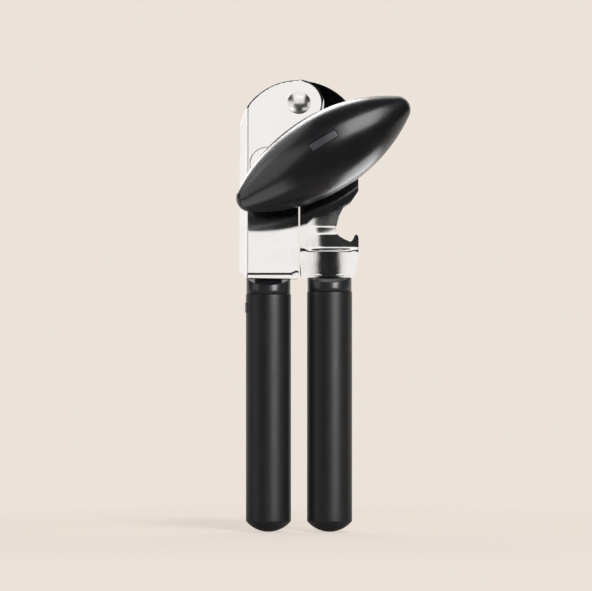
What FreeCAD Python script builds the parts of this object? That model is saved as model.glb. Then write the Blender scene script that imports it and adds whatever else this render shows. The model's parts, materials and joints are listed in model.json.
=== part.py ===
"""Manual can opener as a parametric FreeCAD document, in millimetres.

Two steel arms turn about a rivet at the top. The left arm carries the cutter, the right arm
carries the knob, its shaft and the feed wheel. Each arm ends in a tang inside a handle.

Axes: +Z runs up from the handle ends, -Y is the side of the knob, +X is to the right of
someone who faces the knob. The origin is on the ground, at the centre of the outline.

The steel head leans back from the handles. Its pieces are drawn in the head's own frame:
x runs across, y goes back through the sheet from its front face, and z climbs the sheet from
the bend above the handles.
"""

import FreeCAD
import Part
import Sketcher
import math
import os

DIMENSIONS = {
    # where the opener stands
    "seam_place": -9.8,  # seam between the arms, from the origin, across
    "handle_place": -1.53,  # handle axes, from the origin, front to back
    # handles
    "handle_spacing": 24.4,  # between the two handle axes
    "grip_radius": 9.0,
    "grip_wall": 2.0,
    "grip_length": 95.0,
    "right_grip_extra": 1.0,  # the right grip is this much longer
    "grip_cap": 4.3,  # rise of the domed end
    "collar_radius": 8.8,
    "collar_height": 6.2,
    "collar_bevel_drop": 2.6,
    "collar_bevel_start": 2.0,  # in front of the handle axis
    "tang_cover": 1.45,  # core left beside each edge of the tang
    "tang_reach": 57.0,  # below the top of the grip
    "tang_pin_radius": 1.5,
    "tang_pin_drop": 25.0,  # below the top of the grip
    "pad_drop": 5.4,  # blank oval pad on the left grip, below its top
    "pad_long": 9.0,
    "pad_wide": 4.4,
    "pad_proud": 0.4,
    "pad_depth": 1.0,
    # steel head
    "sheet": 1.5,
    "lean": 18.0,  # degrees
    "bend_lift": 0.8,  # of the bend above the left collar
    "plate_front": 6.5,  # in front of the handle axis, at the bend
    "head_half_width": 23.8,
    "head_radius": 25.0,
    "head_top": 83.7,
    "lobe": 10.1,  # radius of the arms' round ends about the pivot
    "left_seam": 0.2,
    "right_seam": 0.4,
    "flange_width": 3.2,
    "flange_depth": 4.0,
    "left_foot": 1.3,
    "left_neck_width": 17.4,
    "joggle_drop": 12.6,  # below the pivot
    "shim_thickness": 0.7,
    "neck_top": 11.4,
    "neck_blend": 2.2,
    "neck_bulge": 2.2,
    "neck_depth": 5.0,
    "neck_foot": 0.6,
    "neck_foot_width": 20.0,
    "neck_taper": 6.3,
    # clearances
    "fit_gap": 0.05,  # fixed round fits, on the radius
    "run_gap": 0.05,  # running round fits, on the radius
    "end_play": 0.1,  # between faces that turn past each other
    # pivot rivet
    "rivet_radius": 3.0,
    "rivet_head_radius": 4.7,
    "rivet_head_rise": 1.8,
    "pivot_washer_radius": 6.5,
    "pivot_washer_thickness": 0.8,
    # cutter
    "wheel_drop": 26.0,  # below the pivot
    "cutter_across": 12.6,
    "cutter_radius": 11.2,
    "cutter_thickness": 2.0,
    "cutter_bevel": 2.0,
    "wheel_front": 5.9,
    "stud_radius": 7.0,
    "stud_ring_gap": 0.2,
    "stud_flange_radius": 8.5,
    "stud_flat": 7.08,  # flat on the flange, beside the arm's side flange
    "stud_flange_thickness": 1.0,
    "stud_boss_radius": 5.2,
    "journal_radius": 3.2,
    "cutter_bushing_radius": 4.5,
    "cutter_screw_radius": 1.45,
    "cutter_screw_head_radius": 3.4,
    "cutter_screw_head_height": 1.7,
    "cutter_washer_radius": 6.2,
    "cutter_washer_thickness": 0.7,
    # drive
    "drive_across": 9.8,
    "nip_gap": 0.3,  # between the cutter and the feed wheel
    "feed_thickness": 2.5,
    "feed_teeth": 28,
    "tooth_depth": 1.2,
    "shaft_radius": 3.5,
    "shaft_square": 5.0,
    "shaft_shoulder_radius": 4.8,
    "bushing_radius": 5.0,
    "bushing_flange_radius": 7.0,
    "bushing_flange": 0.8,
    "bushing_stand": 0.8,
    "thrust_washer_radius": 7.5,
    "thrust_washer_thickness": 0.8,
    "feed_washer_radius": 6.5,
    "feed_washer_thickness": 0.8,
    "shaft_end_radius": 4.6,
    "shaft_end_thickness": 1.0,
    # knob
    "knob_turn": 32.5,  # degrees, long axis above level at rest
    "knob_half_length": 40.3,
    "knob_half_width": 16.0,
    "knob_tip_radius": 5.5,
    "knob_axis": 12.0,  # long axis and parting line, in front of the sheet
    "knob_back": 5.5,  # flat underside, in front of the sheet
    "knob_wall": 2.2,
    "hub_radius": 7.0,
    "hub_height": 20.0,
    "hub_foot_radius": 6.5,
    "shaft_reach": 15.0,  # front end of the shaft, in front of the sheet
    "hub_web": 2.2,
    "knob_screw_radius": 1.45,
    "knob_screw_length": 9.0,
    "knob_screw_head_radius": 3.4,
    "knob_screw_head_height": 2.0,
    "plug_long": 12.4,
    "plug_wide": 3.6,
    "plug_recess": 0.12,
    "plug_depth": 2.6,
}

FAR = 60.0  # how far a cutting sketch reaches past the piece it trims


class Size:
    """A length that carries its number and the sheet formula that drives it."""

    def __init__(self, number, formula):
        self.number = float(number)
        self.formula = formula

    def joined(self, sign, other, number):
        return Size(number, f"({self.formula} {sign} {as_size(other).formula})")

    def __add__(self, other):
        return self.joined("+", other, self.number + as_size(other).number)

    def __sub__(self, other):
        return self.joined("-", other, self.number - as_size(other).number)

    def __mul__(self, other):
        return self.joined("*", other, self.number * as_size(other).number)

    def __truediv__(self, other):
        return self.joined("/", other, self.number / as_size(other).number)

    def __radd__(self, other):
        return as_size(other) + self

    def __rsub__(self, other):
        return as_size(other) - self

    def __rmul__(self, other):
        return as_size(other) * self

    def __neg__(self):
        return Size(-self.number, f"(-1 * {self.formula})")


def as_size(value):
    return value if isinstance(value, Size) else Size(value, f"{value:g}")


def root(value):
    return Size(math.sqrt(value.number), f"sqrt({value.formula})")


def sine(angle):
    return Size(math.sin(math.radians(angle.number)), f"sin({angle.formula})")


def cosine(angle):
    return Size(math.cos(math.radians(angle.number)), f"cos({angle.formula})")


def driving_sheet(document):
    """Fill the sheet with the driving sizes and hand back each one by its name."""
    sheet = document.addObject("Spreadsheet::Sheet", "Dims")
    sizes = {}
    for row, (name, value) in enumerate(DIMENSIONS.items(), start=1):
        sheet.set(f"A{row}", name)
        sheet.set(f"B{row}", f"{value:g}")
        sheet.setAlias(f"B{row}", name)
        sizes[name] = Size(value, f"Dims.{name}")
    document.recompute()
    return sizes


class Frame:
    """A placement given by sheet formulas: a point, then turns about x and about y."""

    def __init__(self, x=0.0, y=0.0, z=0.0, about_x=0.0, about_y=0.0):
        self.point = [as_size(v) for v in (x, y, z)]
        self.turns = [as_size(about_x), as_size(about_y)]

    def bind(self, body):
        x, y, z = (v.formula for v in self.point)
        tilt = f"rotation(vector(1; 0; 0); {self.turns[0].formula})"
        spin = f"rotation(vector(0; 1; 0); {self.turns[1].formula})"
        body.setExpression("Placement", f"placement(vector({x}; {y}; {z}); {tilt} * {spin})")


def new_body(name, frame):
    body = FreeCAD.ActiveDocument.addObject("PartDesign::Body", name)
    body.Label = name
    frame.bind(body)
    return body


def new_sketch(body, plane, name, lift=0.0, slide=0.0):
    """Attach a sketch to one of the body's own planes, lifted along the plane's normal."""
    sketch = body.newObject("Sketcher::SketchObject", f"{body.Label}_{name}")
    support = [item for item in body.Origin.OriginFeatures if item.Role == plane]
    sketch.AttachmentSupport = [(support[0], "")]
    sketch.MapMode = "FlatFace"
    sketch.setExpression("AttachmentOffset.Base.z", as_size(lift).formula)
    sketch.setExpression("AttachmentOffset.Base.y", as_size(slide).formula)
    return sketch


def fix(sketch, constraint, value):
    """Add a constraint whose value follows the sheet."""
    kind, *where = constraint
    index = sketch.addConstraint(Sketcher.Constraint(kind, *where, as_size(value).number))
    sketch.setExpression(f"Constraints[{index}]", as_size(value).formula)


def circle(sketch, radius, x=0.0, y=0.0):
    x, y, radius = as_size(x), as_size(y), as_size(radius)
    centre = FreeCAD.Vector(x.number, y.number, 0)
    index = sketch.addGeometry(Part.Circle(centre, FreeCAD.Vector(0, 0, 1), radius.number), False)
    fix(sketch, ("DistanceX", -1, 1, index, 3), x)
    fix(sketch, ("DistanceY", -1, 1, index, 3), y)
    fix(sketch, ("Radius", index), radius)


def arc_between(begin, end, radius, turn):
    """The shorter arc from begin to end; turn is 1 for anticlockwise and -1 for clockwise."""
    chord = end - begin
    middle = (begin + end) * 0.5
    rise = math.sqrt(max(radius**2 - (chord.Length / 2) ** 2, 0.0))
    side = FreeCAD.Vector(-chord.y, chord.x, 0).normalize()
    centre = middle + side * (rise * turn)
    first, last = (begin, end) if turn > 0 else (end, begin)
    angles = [math.atan2(p.y - centre.y, p.x - centre.x) for p in (first, last)]
    round_edge = Part.Circle(centre, FreeCAD.Vector(0, 0, 1), radius)
    return Part.ArcOfCircle(round_edge, angles[0], angles[1])


def outline(sketch, corners):
    """Draw a closed outline. A corner is (x, y), or (x, y, radius, turn) where an arc leads to it."""
    count = len(corners)
    points = [(as_size(corner[0]), as_size(corner[1])) for corner in corners]
    places = [FreeCAD.Vector(x.number, y.number, 0) for x, y in points]
    ends = []
    for i in range(count):
        target = corners[(i + 1) % count]
        begin, end = places[i], places[(i + 1) % count]
        if len(target) == 4:
            radius, turn = as_size(target[2]), target[3]
            shape = arc_between(begin, end, radius.number, turn)
            index = sketch.addGeometry(shape, False)
            ends.append((index, 1, 2) if turn > 0 else (index, 2, 1))
            fix(sketch, ("Radius", index), radius)
        else:
            index = sketch.addGeometry(Part.LineSegment(begin, end), False)
            ends.append((index, 1, 2))
    for i in range(count):
        index, first, last = ends[i]
        follower = ends[(i + 1) % count]
        sketch.addConstraint(
            Sketcher.Constraint("Coincident", index, last, follower[0], follower[1])
        )
        fix(sketch, ("DistanceX", -1, 1, index, first), points[i][0])
        fix(sketch, ("DistanceY", -1, 1, index, first), points[i][1])


def rectangle(sketch, x0, y0, x1, y1):
    outline(sketch, [(x0, y0), (x1, y0), (x1, y1), (x0, y1)])


def add_feature(sketch, kind, name):
    body = sketch.getParentGeoFeatureGroup()
    feature = body.newObject(f"PartDesign::{kind}", f"{body.Label}_{name}")
    feature.Profile = sketch
    body.Tip = feature
    return feature


def pad(sketch, length, name="pad", backward=False, symmetric=False):
    feature = add_feature(sketch, "Pad", name)
    feature.setExpression("Length", as_size(length).formula)
    feature.Reversed = backward
    if symmetric:
        feature.SideType = "Symmetric"
    return feature


def checked_cut(feature):
    """A cut must leave less solid than it found."""
    FreeCAD.ActiveDocument.recompute()
    before = feature.BaseFeature.Shape.Volume
    if feature.Shape.Volume > before - 0.01:
        raise RuntimeError(f"{feature.Label} removes nothing")
    return feature


def pocket(sketch, length, name="pocket", backward=False):
    """Cut to a depth; it goes against the sketch's normal unless it is backward."""
    feature = add_feature(sketch, "Pocket", name)
    feature.Type = "Length"
    feature.setExpression("Length", as_size(length).formula)
    feature.Reversed = backward
    return checked_cut(feature)


def cut_through(sketch, name="cut"):
    feature = add_feature(sketch, "Pocket", name)
    feature.SideType = "Symmetric"
    feature.Type = "Length"
    feature.Length = 4 * FAR
    return checked_cut(feature)


def revolve(sketch, axis, name="turn", kind="Revolution"):
    feature = add_feature(sketch, kind, name)
    feature.ReferenceAxis = (sketch, [axis])
    feature.Angle = 360
    return feature


def turned(name, frame, profile):
    """A round piece about the frame's y axis, from (radius, y) corners."""
    body = new_body(name, frame)
    sketch = new_sketch(body, "XY_Plane", "profile")
    outline(sketch, profile)
    revolve(sketch, "V_Axis")
    return body


def ring(name, frame, bore, radius, front, back):
    """A plain washer or sleeve about the frame's y axis."""
    return turned(name, frame, [(bore, front), (radius, front), (radius, back), (bore, back)])


def trim_to(body, corners, plane="XZ_Plane"):
    """Keep only what lies inside the outline."""
    sketch = new_sketch(body, plane, "outline")
    rectangle(sketch, -FAR, -FAR, FAR, 2 * FAR)
    outline(sketch, corners)
    cut_through(sketch, "trim")


def bore_through(body, radius, x, z, name):
    sketch = new_sketch(body, "XZ_Plane", name)
    circle(sketch, radius, x, z)
    cut_through(sketch, f"{name}_cut")


class Opener:
    """The opener's shared places, and one method for each group of pieces."""

    def __init__(self, sizes):
        self.__dict__.update(sizes)
        self.bend_height = self.grip_length + self.collar_height + self.bend_lift
        self.tang_low = self.grip_length - self.tang_reach
        self.tang_pin_height = self.grip_length - self.tang_pin_drop
        self.tang_width = 2 * (self.grip_radius - self.grip_wall - self.fit_gap - self.tang_cover)
        self.pad_height = self.grip_length - self.pad_drop
        self.pivot_rise = self.head_top - self.lobe
        self.joggle_rise = self.pivot_rise - self.joggle_drop
        self.wheel_rise = self.pivot_rise - self.wheel_drop
        self.joggle = self.sheet + self.end_play + self.shim_thickness
        self.arc_centre = self.head_top - self.head_radius
        side = self.head_radius * self.head_radius - self.head_half_width * self.head_half_width
        self.arc_side = self.arc_centre + root(side)
        self.head_front = self.handle_place - self.plate_front
        self.feed_radius = (
            self.cutter_across + self.drive_across - self.cutter_radius - self.nip_gap
        )
        self.wheel_back = self.wheel_front + self.cutter_thickness
        self.journal_end = self.wheel_back + self.end_play * 2
        self.feed_back = self.wheel_front + self.feed_thickness

    def head(self, across=0.0, rise=0.0, spin=0.0):
        """A frame on the leaning head, with its origin on the front face of the sheet."""
        rise = as_size(rise)
        return Frame(
            x=self.seam_place + across,
            y=self.head_front + rise * sine(self.lean),
            z=self.bend_height + rise * cosine(self.lean),
            about_x=-self.lean,
            about_y=spin,
        )

    def handle(self, side):
        return Frame(x=self.seam_place + self.handle_spacing / 2 * side, y=self.handle_place)

    def on_head(self, y, z):
        """Head coordinates of a point given from the handle axis (y) and the ground (z)."""
        back = self.plate_front + y
        up = z - self.bend_height
        return (
            back * cosine(self.lean) - up * sine(self.lean),
            back * sine(self.lean) + up * cosine(self.lean),
        )

    def add_tang(self, body, side, collar_top, neck_width, neck_start):
        """The sheet folds back over the collar, then runs down inside the handle."""
        across = self.handle_spacing / 2 * side
        half = self.sheet / 2
        fold_top = collar_top + self.sheet
        neck = new_sketch(body, "YZ_Plane", "neck", lift=across)
        low_front = (collar_top - self.bend_height) / cosine(self.lean)
        outline(
            neck,
            [
                (neck_start, low_front + neck_start * sine(self.lean) / cosine(self.lean)),
                self.on_head(half, collar_top),
                self.on_head(half, fold_top),
                (self.sheet, self.left_foot + self.sheet),
                (neck_start, self.left_foot + self.sheet),
            ],
        )
        pad(neck, neck_width, "fold", symmetric=True)
        tang = new_sketch(body, "YZ_Plane", "tang", lift=across)
        outline(
            tang,
            [
                self.on_head(-half, self.tang_low),
                self.on_head(half, self.tang_low),
                self.on_head(half, fold_top),
                self.on_head(-half, fold_top),
            ],
        )
        pad(tang, self.tang_width, "blade", symmetric=True)

    def left_arm(self):
        """Flat plate with a sloping side flange, a round lobe at the pivot, and a tang."""
        body = new_body("left_arm", self.head())
        section = new_sketch(body, "XY_Plane", "section")
        slope = self.flange_width / self.flange_depth
        slant = root(self.flange_width * self.flange_width + self.flange_depth * self.flange_depth)
        wall = self.sheet * slant / self.flange_depth
        edge = self.head_half_width
        outline(
            section,
            [
                (self.lobe + 1, 0.0),
                (self.lobe + 1, self.sheet),
                (wall + (self.flange_depth - self.sheet) * slope - edge, self.sheet),
                (wall - edge, self.flange_depth),
                (-edge, self.flange_depth),
                (self.flange_width - edge, 0.0),
            ],
        )
        pad(section, self.head_top + 1, "plate")
        low = self.pivot_rise - root(self.lobe * self.lobe - self.left_seam * self.left_seam)
        trim_to(
            body,
            [
                (-self.left_seam, self.left_foot + 0.8),
                (-self.left_seam, low),
                (self.lobe, self.pivot_rise, self.lobe, 1),
                (0.0, self.head_top, self.lobe, 1),
                (-edge, self.arc_side, self.head_radius, 1),
                (-edge, self.left_foot + self.flange_width),
                (self.flange_width - edge, self.left_foot),
                (-self.left_seam - 1.2, self.left_foot),
            ],
        )
        collar_top = self.grip_length + self.collar_height
        self.add_tang(body, -1, collar_top, self.left_neck_width, as_size(0.0))
        bore_through(body, self.rivet_radius + self.fit_gap, 0.0, self.pivot_rise, "pivot_hole")
        stud_hole = self.stud_radius + self.stud_ring_gap
        bore_through(body, stud_hole, -self.cutter_across, self.wheel_rise, "stud_hole")
        self.tang_pin_hole(body, -1)

    def tang_pin_hole(self, body, side):
        """A level hole through the tang, so its sketch is turned back upright."""
        sketch = new_sketch(body, "XZ_Plane", "pin_hole")
        y, z = self.on_head(as_size(0.0), self.tang_pin_height)
        x = self.handle_spacing / 2 * side
        place = f"vector({x.formula}; {z.formula}; {(-y).formula})"
        turn = f"rotation(vector(1; 0; 0); {self.lean.formula})"
        sketch.setExpression("AttachmentOffset.Base.z", None)
        sketch.setExpression("AttachmentOffset.Base.y", None)
        sketch.setExpression("AttachmentOffset", f"placement({place}; {turn})")
        circle(sketch, self.tang_pin_radius + self.fit_gap)
        cut_through(sketch, "pin_hole_cut")

    def right_arm(self):
        """Plate stepped back behind the pivot, a cap lifter in its edge and a half-round neck."""
        body = new_body("right_arm", self.head())
        flat_start = self.neck_top + self.neck_blend
        knee = self.sheet * 0.414
        profile = new_sketch(body, "YZ_Plane", "profile", lift=-self.lobe - 1)
        outline(
            profile,
            [
                (0.0, flat_start),
                (self.sheet, flat_start),
                (self.sheet, self.joggle_rise - knee),
                (self.joggle + self.sheet, self.joggle_rise + self.joggle - knee),
                (self.joggle + self.sheet, self.head_top + 1),
                (self.joggle, self.head_top + 1),
                (self.joggle, self.joggle_rise + self.joggle),
                (0.0, self.joggle_rise),
            ],
        )
        pad(profile, self.lobe + self.head_half_width + 2, "plate")
        self.add_neck(body, flat_start)
        edge = self.head_half_width
        foot = (self.neck_foot_width - self.handle_spacing) / 2
        trim_to(
            body,
            [
                (self.right_seam, self.neck_foot + 1.8),
                (self.right_seam + 0.4, self.neck_foot + 0.5),
                (self.right_seam + 1.4, self.neck_foot),
                (self.handle_spacing + foot, self.neck_foot),
                (edge - 0.4, self.neck_taper),
                (edge, self.neck_top),
                (edge, 16.2),
                (edge - 1.0, 17.7),
                (edge - 2.0, 16.0),
                (edge - 3.2, 14.7),
                (edge - 5.8, 15.8),
                (edge - 8.6, 17.9),
                (edge - 9.0, 20.4),
                (edge - 7.8, 25.4),
                (edge - 6.2, 28.8),
                (edge - 3.4, 30.7),
                (edge, 36.0),
                (edge, self.arc_side),
                (0.0, self.head_top, self.head_radius, 1),
                (-self.lobe, self.pivot_rise, self.lobe, 1),
                (0.0, self.pivot_rise - self.lobe, self.lobe, 1),
                (self.right_seam, self.pivot_rise - self.lobe),
            ],
        )
        collar_top = self.grip_length + self.right_grip_extra + self.collar_height
        self.add_tang(body, 1, collar_top, self.tang_width, 1 - self.neck_bulge)
        bore_through(body, self.rivet_radius + self.run_gap, 0.0, self.pivot_rise, "pivot_hole")
        bushing_hole = self.bushing_radius + self.fit_gap
        bore_through(body, bushing_hole, self.drive_across, self.wheel_rise, "bushing_hole")
        self.tang_pin_hole(body, 1)

    def add_neck(self, body, flat_start):
        """A half-round shell that grows out of the flat plate and faces forward."""
        middle = self.handle_spacing / 2
        half = self.head_half_width - middle - 0.2
        depth = self.neck_bulge + self.neck_depth
        outer = (half * half + depth * depth) / (2 * depth)
        inner = outer - self.sheet
        centre = outer - self.neck_bulge
        reach = root(inner * inner - (centre - self.neck_depth) * (centre - self.neck_depth))
        round_part = new_sketch(body, "XY_Plane", "neck_section", lift=self.neck_top)
        outline(
            round_part,
            [
                (middle - half, self.neck_depth),
                (middle, -self.neck_bulge, outer, 1),
                (middle + half, self.neck_depth, outer, 1),
                (middle + reach, self.neck_depth),
                (middle, self.sheet - self.neck_bulge, inner, -1),
                (middle - reach, self.neck_depth, inner, -1),
            ],
        )
        flat_part = new_sketch(body, "XY_Plane", "neck_flat", lift=flat_start)
        outline(
            flat_part,
            [
                (middle - half, 0.0),
                (middle, 0.0),
                (middle + half, 0.0),
                (middle + half, self.sheet),
                (middle, self.sheet),
                (middle - half, self.sheet),
            ],
        )
        blend = add_feature(flat_part, "AdditiveLoft", "neck_blend")
        blend.Sections = [round_part]
        blend.Ruled = True
        shell = new_sketch(body, "XY_Plane", "neck_shell", lift=self.neck_top)
        outline(
            shell,
            [
                (middle - half, self.neck_depth),
                (middle, -self.neck_bulge, outer, 1),
                (middle + half, self.neck_depth, outer, 1),
                (middle + reach, self.neck_depth),
                (middle, self.sheet - self.neck_bulge, inner, -1),
                (middle - reach, self.neck_depth, inner, -1),
            ],
        )
        pad(shell, self.neck_top, "neck", backward=True)

    def handle_pieces(self, name, side, grip_length):
        """Core, grip, collar and cross pin of one handle."""
        frame = self.handle(side)
        radius = self.grip_radius
        bore = radius - self.grip_wall
        cap = self.grip_cap
        grip = new_body(f"{name}_handle_grip", frame)
        profile = new_sketch(grip, "XZ_Plane", "profile")
        outline(
            profile,
            [
                (0.0, 0.0),
                (radius, cap, (radius * radius + cap * cap) / (2 * cap), 1),
                (radius, grip_length),
                (bore, grip_length),
                (bore, cap),
                (0.0, cap),
            ],
        )
        revolve(profile, "V_Axis")

        slot_wide = self.tang_width + self.fit_gap * 2
        slot_thick = self.sheet + self.fit_gap * 2
        core = new_body(f"{name}_handle_core", frame)
        bar = new_sketch(core, "XY_Plane", "bar", lift=cap)
        circle(bar, bore - self.fit_gap)
        pad(bar, grip_length - cap)
        slot = new_sketch(core, "XY_Plane", "slot", lift=grip_length)
        rectangle(slot, -slot_wide / 2, -slot_thick / 2, slot_wide / 2, slot_thick / 2)
        pocket(slot, grip_length - self.tang_low + self.end_play, "slot_cut")
        pin_hole = new_sketch(core, "XZ_Plane", "pin_hole")
        circle(pin_hole, self.tang_pin_radius + self.fit_gap, 0.0, self.tang_pin_height)
        cut_through(pin_hole, "pin_hole_cut")

        collar = new_body(f"{name}_collar", frame)
        top = grip_length + self.collar_height
        disc = new_sketch(collar, "XY_Plane", "disc", lift=grip_length)
        circle(disc, self.collar_radius)
        pad(disc, self.collar_height)
        window = new_sketch(collar, "XY_Plane", "window", lift=top)
        rectangle(window, -slot_wide / 2, -slot_thick / 2, slot_wide / 2, slot_thick / 2)
        pocket(window, self.collar_height + 1, "window_cut")
        start = -self.collar_bevel_start
        end = -self.collar_radius - 1
        slope = self.collar_bevel_drop / (self.collar_radius - self.collar_bevel_start)
        bevel = new_sketch(collar, "YZ_Plane", "bevel")
        outline(
            bevel,
            [(start, top), (end, top + (end - start) * slope), (end, top + 1), (start, top + 1)],
        )
        cut_through(bevel, "bevel_cut")

        pin = new_body(f"{name}_tang_pin", frame)
        rod = new_sketch(pin, "XZ_Plane", "rod")
        circle(rod, self.tang_pin_radius, 0.0, self.tang_pin_height)
        pad(rod, 2 * bore - 2, symmetric=True)
        return grip

    def grip_pad(self, grip):
        """A blank oval pad let into the outer side of the left grip."""
        floor = self.grip_radius - self.pad_depth
        seat = new_sketch(grip, "YZ_Plane", "pad_seat", lift=-self.grip_radius - 1)
        self.oval(seat, self.pad_long / 2 + self.fit_gap, self.pad_wide / 2 + self.fit_gap)
        pocket(seat, 1 + self.pad_depth, "pad_seat_cut", backward=True)
        body = new_body("left_grip_pad", self.handle(-1))
        plan = new_sketch(body, "YZ_Plane", "plan", lift=-floor)
        self.oval(plan, self.pad_long / 2, self.pad_wide / 2)
        pad(plan, self.pad_depth + 1, "block", backward=True)
        around = new_sketch(body, "XY_Plane", "around")
        circle(around, self.grip_radius + self.pad_proud)
        circle(around, 4 * self.grip_radius)
        cut_through(around, "around_cut")

    def oval(self, sketch, half_long, half_wide):
        """A slot outline with round ends, long side level, at the pad's height."""
        z = self.pad_height
        flat = half_long - half_wide
        outline(
            sketch,
            [
                (-flat, z - half_wide),
                (flat, z - half_wide),
                (half_long, z, half_wide, 1),
                (flat, z + half_wide, half_wide, 1),
                (-flat, z + half_wide),
                (-half_long, z, half_wide, 1),
                (-flat, z - half_wide, half_wide, 1),
            ][1:],
        )

    def pivot(self):
        """The rivet that the arms turn about, its back washer and the wear shim."""
        frame = self.head(rise=self.pivot_rise)
        washer_front = self.joggle + self.sheet + self.end_play
        washer_back = washer_front + self.pivot_washer_thickness
        head, rise = self.rivet_head_radius, self.rivet_head_rise
        dome = (head * head + rise * rise) / (2 * rise)
        shank = self.rivet_radius
        turned(
            "pivot_rivet",
            frame,
            [
                (0.0, -rise),
                (head, 0.0, dome, 1),
                (shank, 0.0),
                (shank, washer_back),
                (head, washer_back),
                (head - 0.6, washer_back + 0.9),
                (0.0, washer_back + 1.2),
            ],
        )
        hole = shank + self.fit_gap
        ring("pivot_back_washer", frame, hole, self.pivot_washer_radius, washer_front, washer_back)

        shim = new_body("pivot_wear_shim", self.head())
        plan = new_sketch(shim, "XZ_Plane", "plan", lift=-self.joggle)
        low = self.joggle_rise + self.joggle + 0.3
        edge = self.head_half_width
        outline(
            plan,
            [
                (0.0, self.pivot_rise - self.lobe + 0.6),
                (edge, low + 0.3),
                (edge, self.arc_side),
                (0.0, self.head_top, self.head_radius, 1),
                (-self.lobe, self.pivot_rise, self.lobe, 1),
                (-self.lobe * 0.6, self.pivot_rise - self.lobe * 0.8, self.lobe, 1),
            ],
        )
        circle(plan, self.rivet_radius + self.run_gap, 0.0, self.pivot_rise)
        pad(plan, self.shim_thickness)

    def cutter(self):
        """Stud fixed in the left arm, the free wheel on its sleeve, and what keeps it there."""
        frame = self.head(across=-self.cutter_across, rise=self.wheel_rise)
        thread = self.cutter_screw_radius + self.fit_gap
        flange_back = self.sheet + self.stud_flange_thickness
        journal = self.journal_radius
        stud = turned(
            "cutter_stud",
            frame,
            [
                (0.0, 0.0),
                (self.stud_radius, 0.0),
                (self.stud_radius, self.sheet),
                (self.stud_flange_radius, self.sheet),
                (self.stud_flange_radius, flange_back),
                (self.stud_boss_radius, flange_back),
                (self.stud_boss_radius, self.wheel_front - self.end_play),
                (journal, self.wheel_front - self.end_play),
                (journal, self.journal_end),
                (thread, self.journal_end),
                (thread, flange_back + 0.8),
                (0.0, flange_back + 0.8),
            ],
        )
        flat = new_sketch(stud, "XZ_Plane", "flat")
        rectangle(flat, -FAR, -FAR, -self.stud_flat, FAR)
        cut_through(flat, "flat_cut")
        sleeve = self.cutter_bushing_radius
        ring(
            "cutter_bushing",
            frame,
            journal + self.run_gap,
            sleeve,
            self.wheel_front,
            self.wheel_back,
        )
        shoulder = self.cutter_radius - self.cutter_bevel
        turned(
            "cutter_wheel",
            frame,
            [
                (sleeve + self.fit_gap, self.wheel_front),
                (shoulder, self.wheel_front),
                (self.cutter_radius, self.wheel_front + self.cutter_thickness * 0.7),
                (self.cutter_radius, self.wheel_front + self.cutter_thickness * 0.8),
                (shoulder, self.wheel_back),
                (sleeve + self.fit_gap, self.wheel_back),
            ],
        )
        washer_back = self.journal_end + self.cutter_washer_thickness
        ring(
            "cutter_spring_washer",
            frame,
            thread,
            self.cutter_washer_radius,
            self.journal_end,
            washer_back,
        )
        head = self.cutter_screw_head_radius
        head_back = washer_back + self.cutter_screw_head_height
        screw = turned(
            "cutter_screw",
            frame,
            [
                (0.0, flange_back + 1.2),
                (self.cutter_screw_radius, flange_back + 1.2),
                (self.cutter_screw_radius, washer_back),
                (head, washer_back),
                (head, head_back - 0.5),
                (head - 0.5, head_back),
                (0.0, head_back),
            ],
        )
        slot = new_sketch(screw, "XZ_Plane", "slot", lift=-head_back)
        rectangle(slot, -head - 1, -0.5, head + 1, 0.5)
        pocket(slot, 0.8, "slot_cut", backward=True)

    def drive(self):
        """Bushing and washer on the right arm; shaft, feed wheel and washer that turn in them."""
        frame = self.head(across=self.drive_across, rise=self.wheel_rise)
        turning = self.head(self.drive_across, self.wheel_rise, -self.knob_turn)
        bore = self.shaft_radius + self.run_gap
        flange_back = self.sheet + self.bushing_flange
        sleeve = self.bushing_radius
        turned(
            "drive_bushing",
            frame,
            [
                (bore, -self.bushing_stand),
                (sleeve, -self.bushing_stand),
                (sleeve, self.sheet),
                (self.bushing_flange_radius, self.sheet),
                (self.bushing_flange_radius, flange_back),
                (bore, flange_back),
            ],
        )
        washer_front = -self.bushing_stand - self.thrust_washer_thickness
        ring(
            "drive_thrust_washer",
            frame,
            bore,
            self.thrust_washer_radius,
            washer_front,
            -self.bushing_stand,
        )
        hub_foot = washer_front - self.end_play
        washer_back = self.feed_back + self.feed_washer_thickness
        shaft = turned(
            "drive_shaft",
            turning,
            [
                (0.0, hub_foot),
                (self.shaft_radius, hub_foot),
                (self.shaft_radius, flange_back + self.end_play),
                (self.shaft_shoulder_radius, flange_back + self.end_play),
                (self.shaft_shoulder_radius, self.wheel_front),
                (0.0, self.wheel_front),
            ],
        )
        half = self.shaft_square / 2
        front = new_sketch(shaft, "XZ_Plane", "front_square", lift=-hub_foot)
        rectangle(front, -half, -half, half, half)
        pad(front, self.shaft_reach + hub_foot, "front_end")
        back = new_sketch(shaft, "XZ_Plane", "back_square", lift=-self.wheel_front)
        rectangle(back, -half, -half, half, half)
        pad(back, washer_back - self.wheel_front, "back_end", backward=True)
        peen = new_sketch(shaft, "XZ_Plane", "peen", lift=-washer_back)
        circle(peen, self.shaft_end_radius)
        pad(peen, self.shaft_end_thickness, "peened_end", backward=True)
        tapped = new_sketch(shaft, "XZ_Plane", "tapped", lift=self.shaft_reach)
        circle(tapped, self.knob_screw_radius + self.fit_gap)
        pocket(tapped, self.knob_screw_length - self.hub_web + 1, "tapped_hole")

        self.feed_wheel(turning)
        ring(
            "feed_wheel_washer",
            turning,
            self.shaft_square * 0.7072 + self.fit_gap,
            self.feed_washer_radius,
            self.feed_back,
            washer_back,
        )

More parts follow.
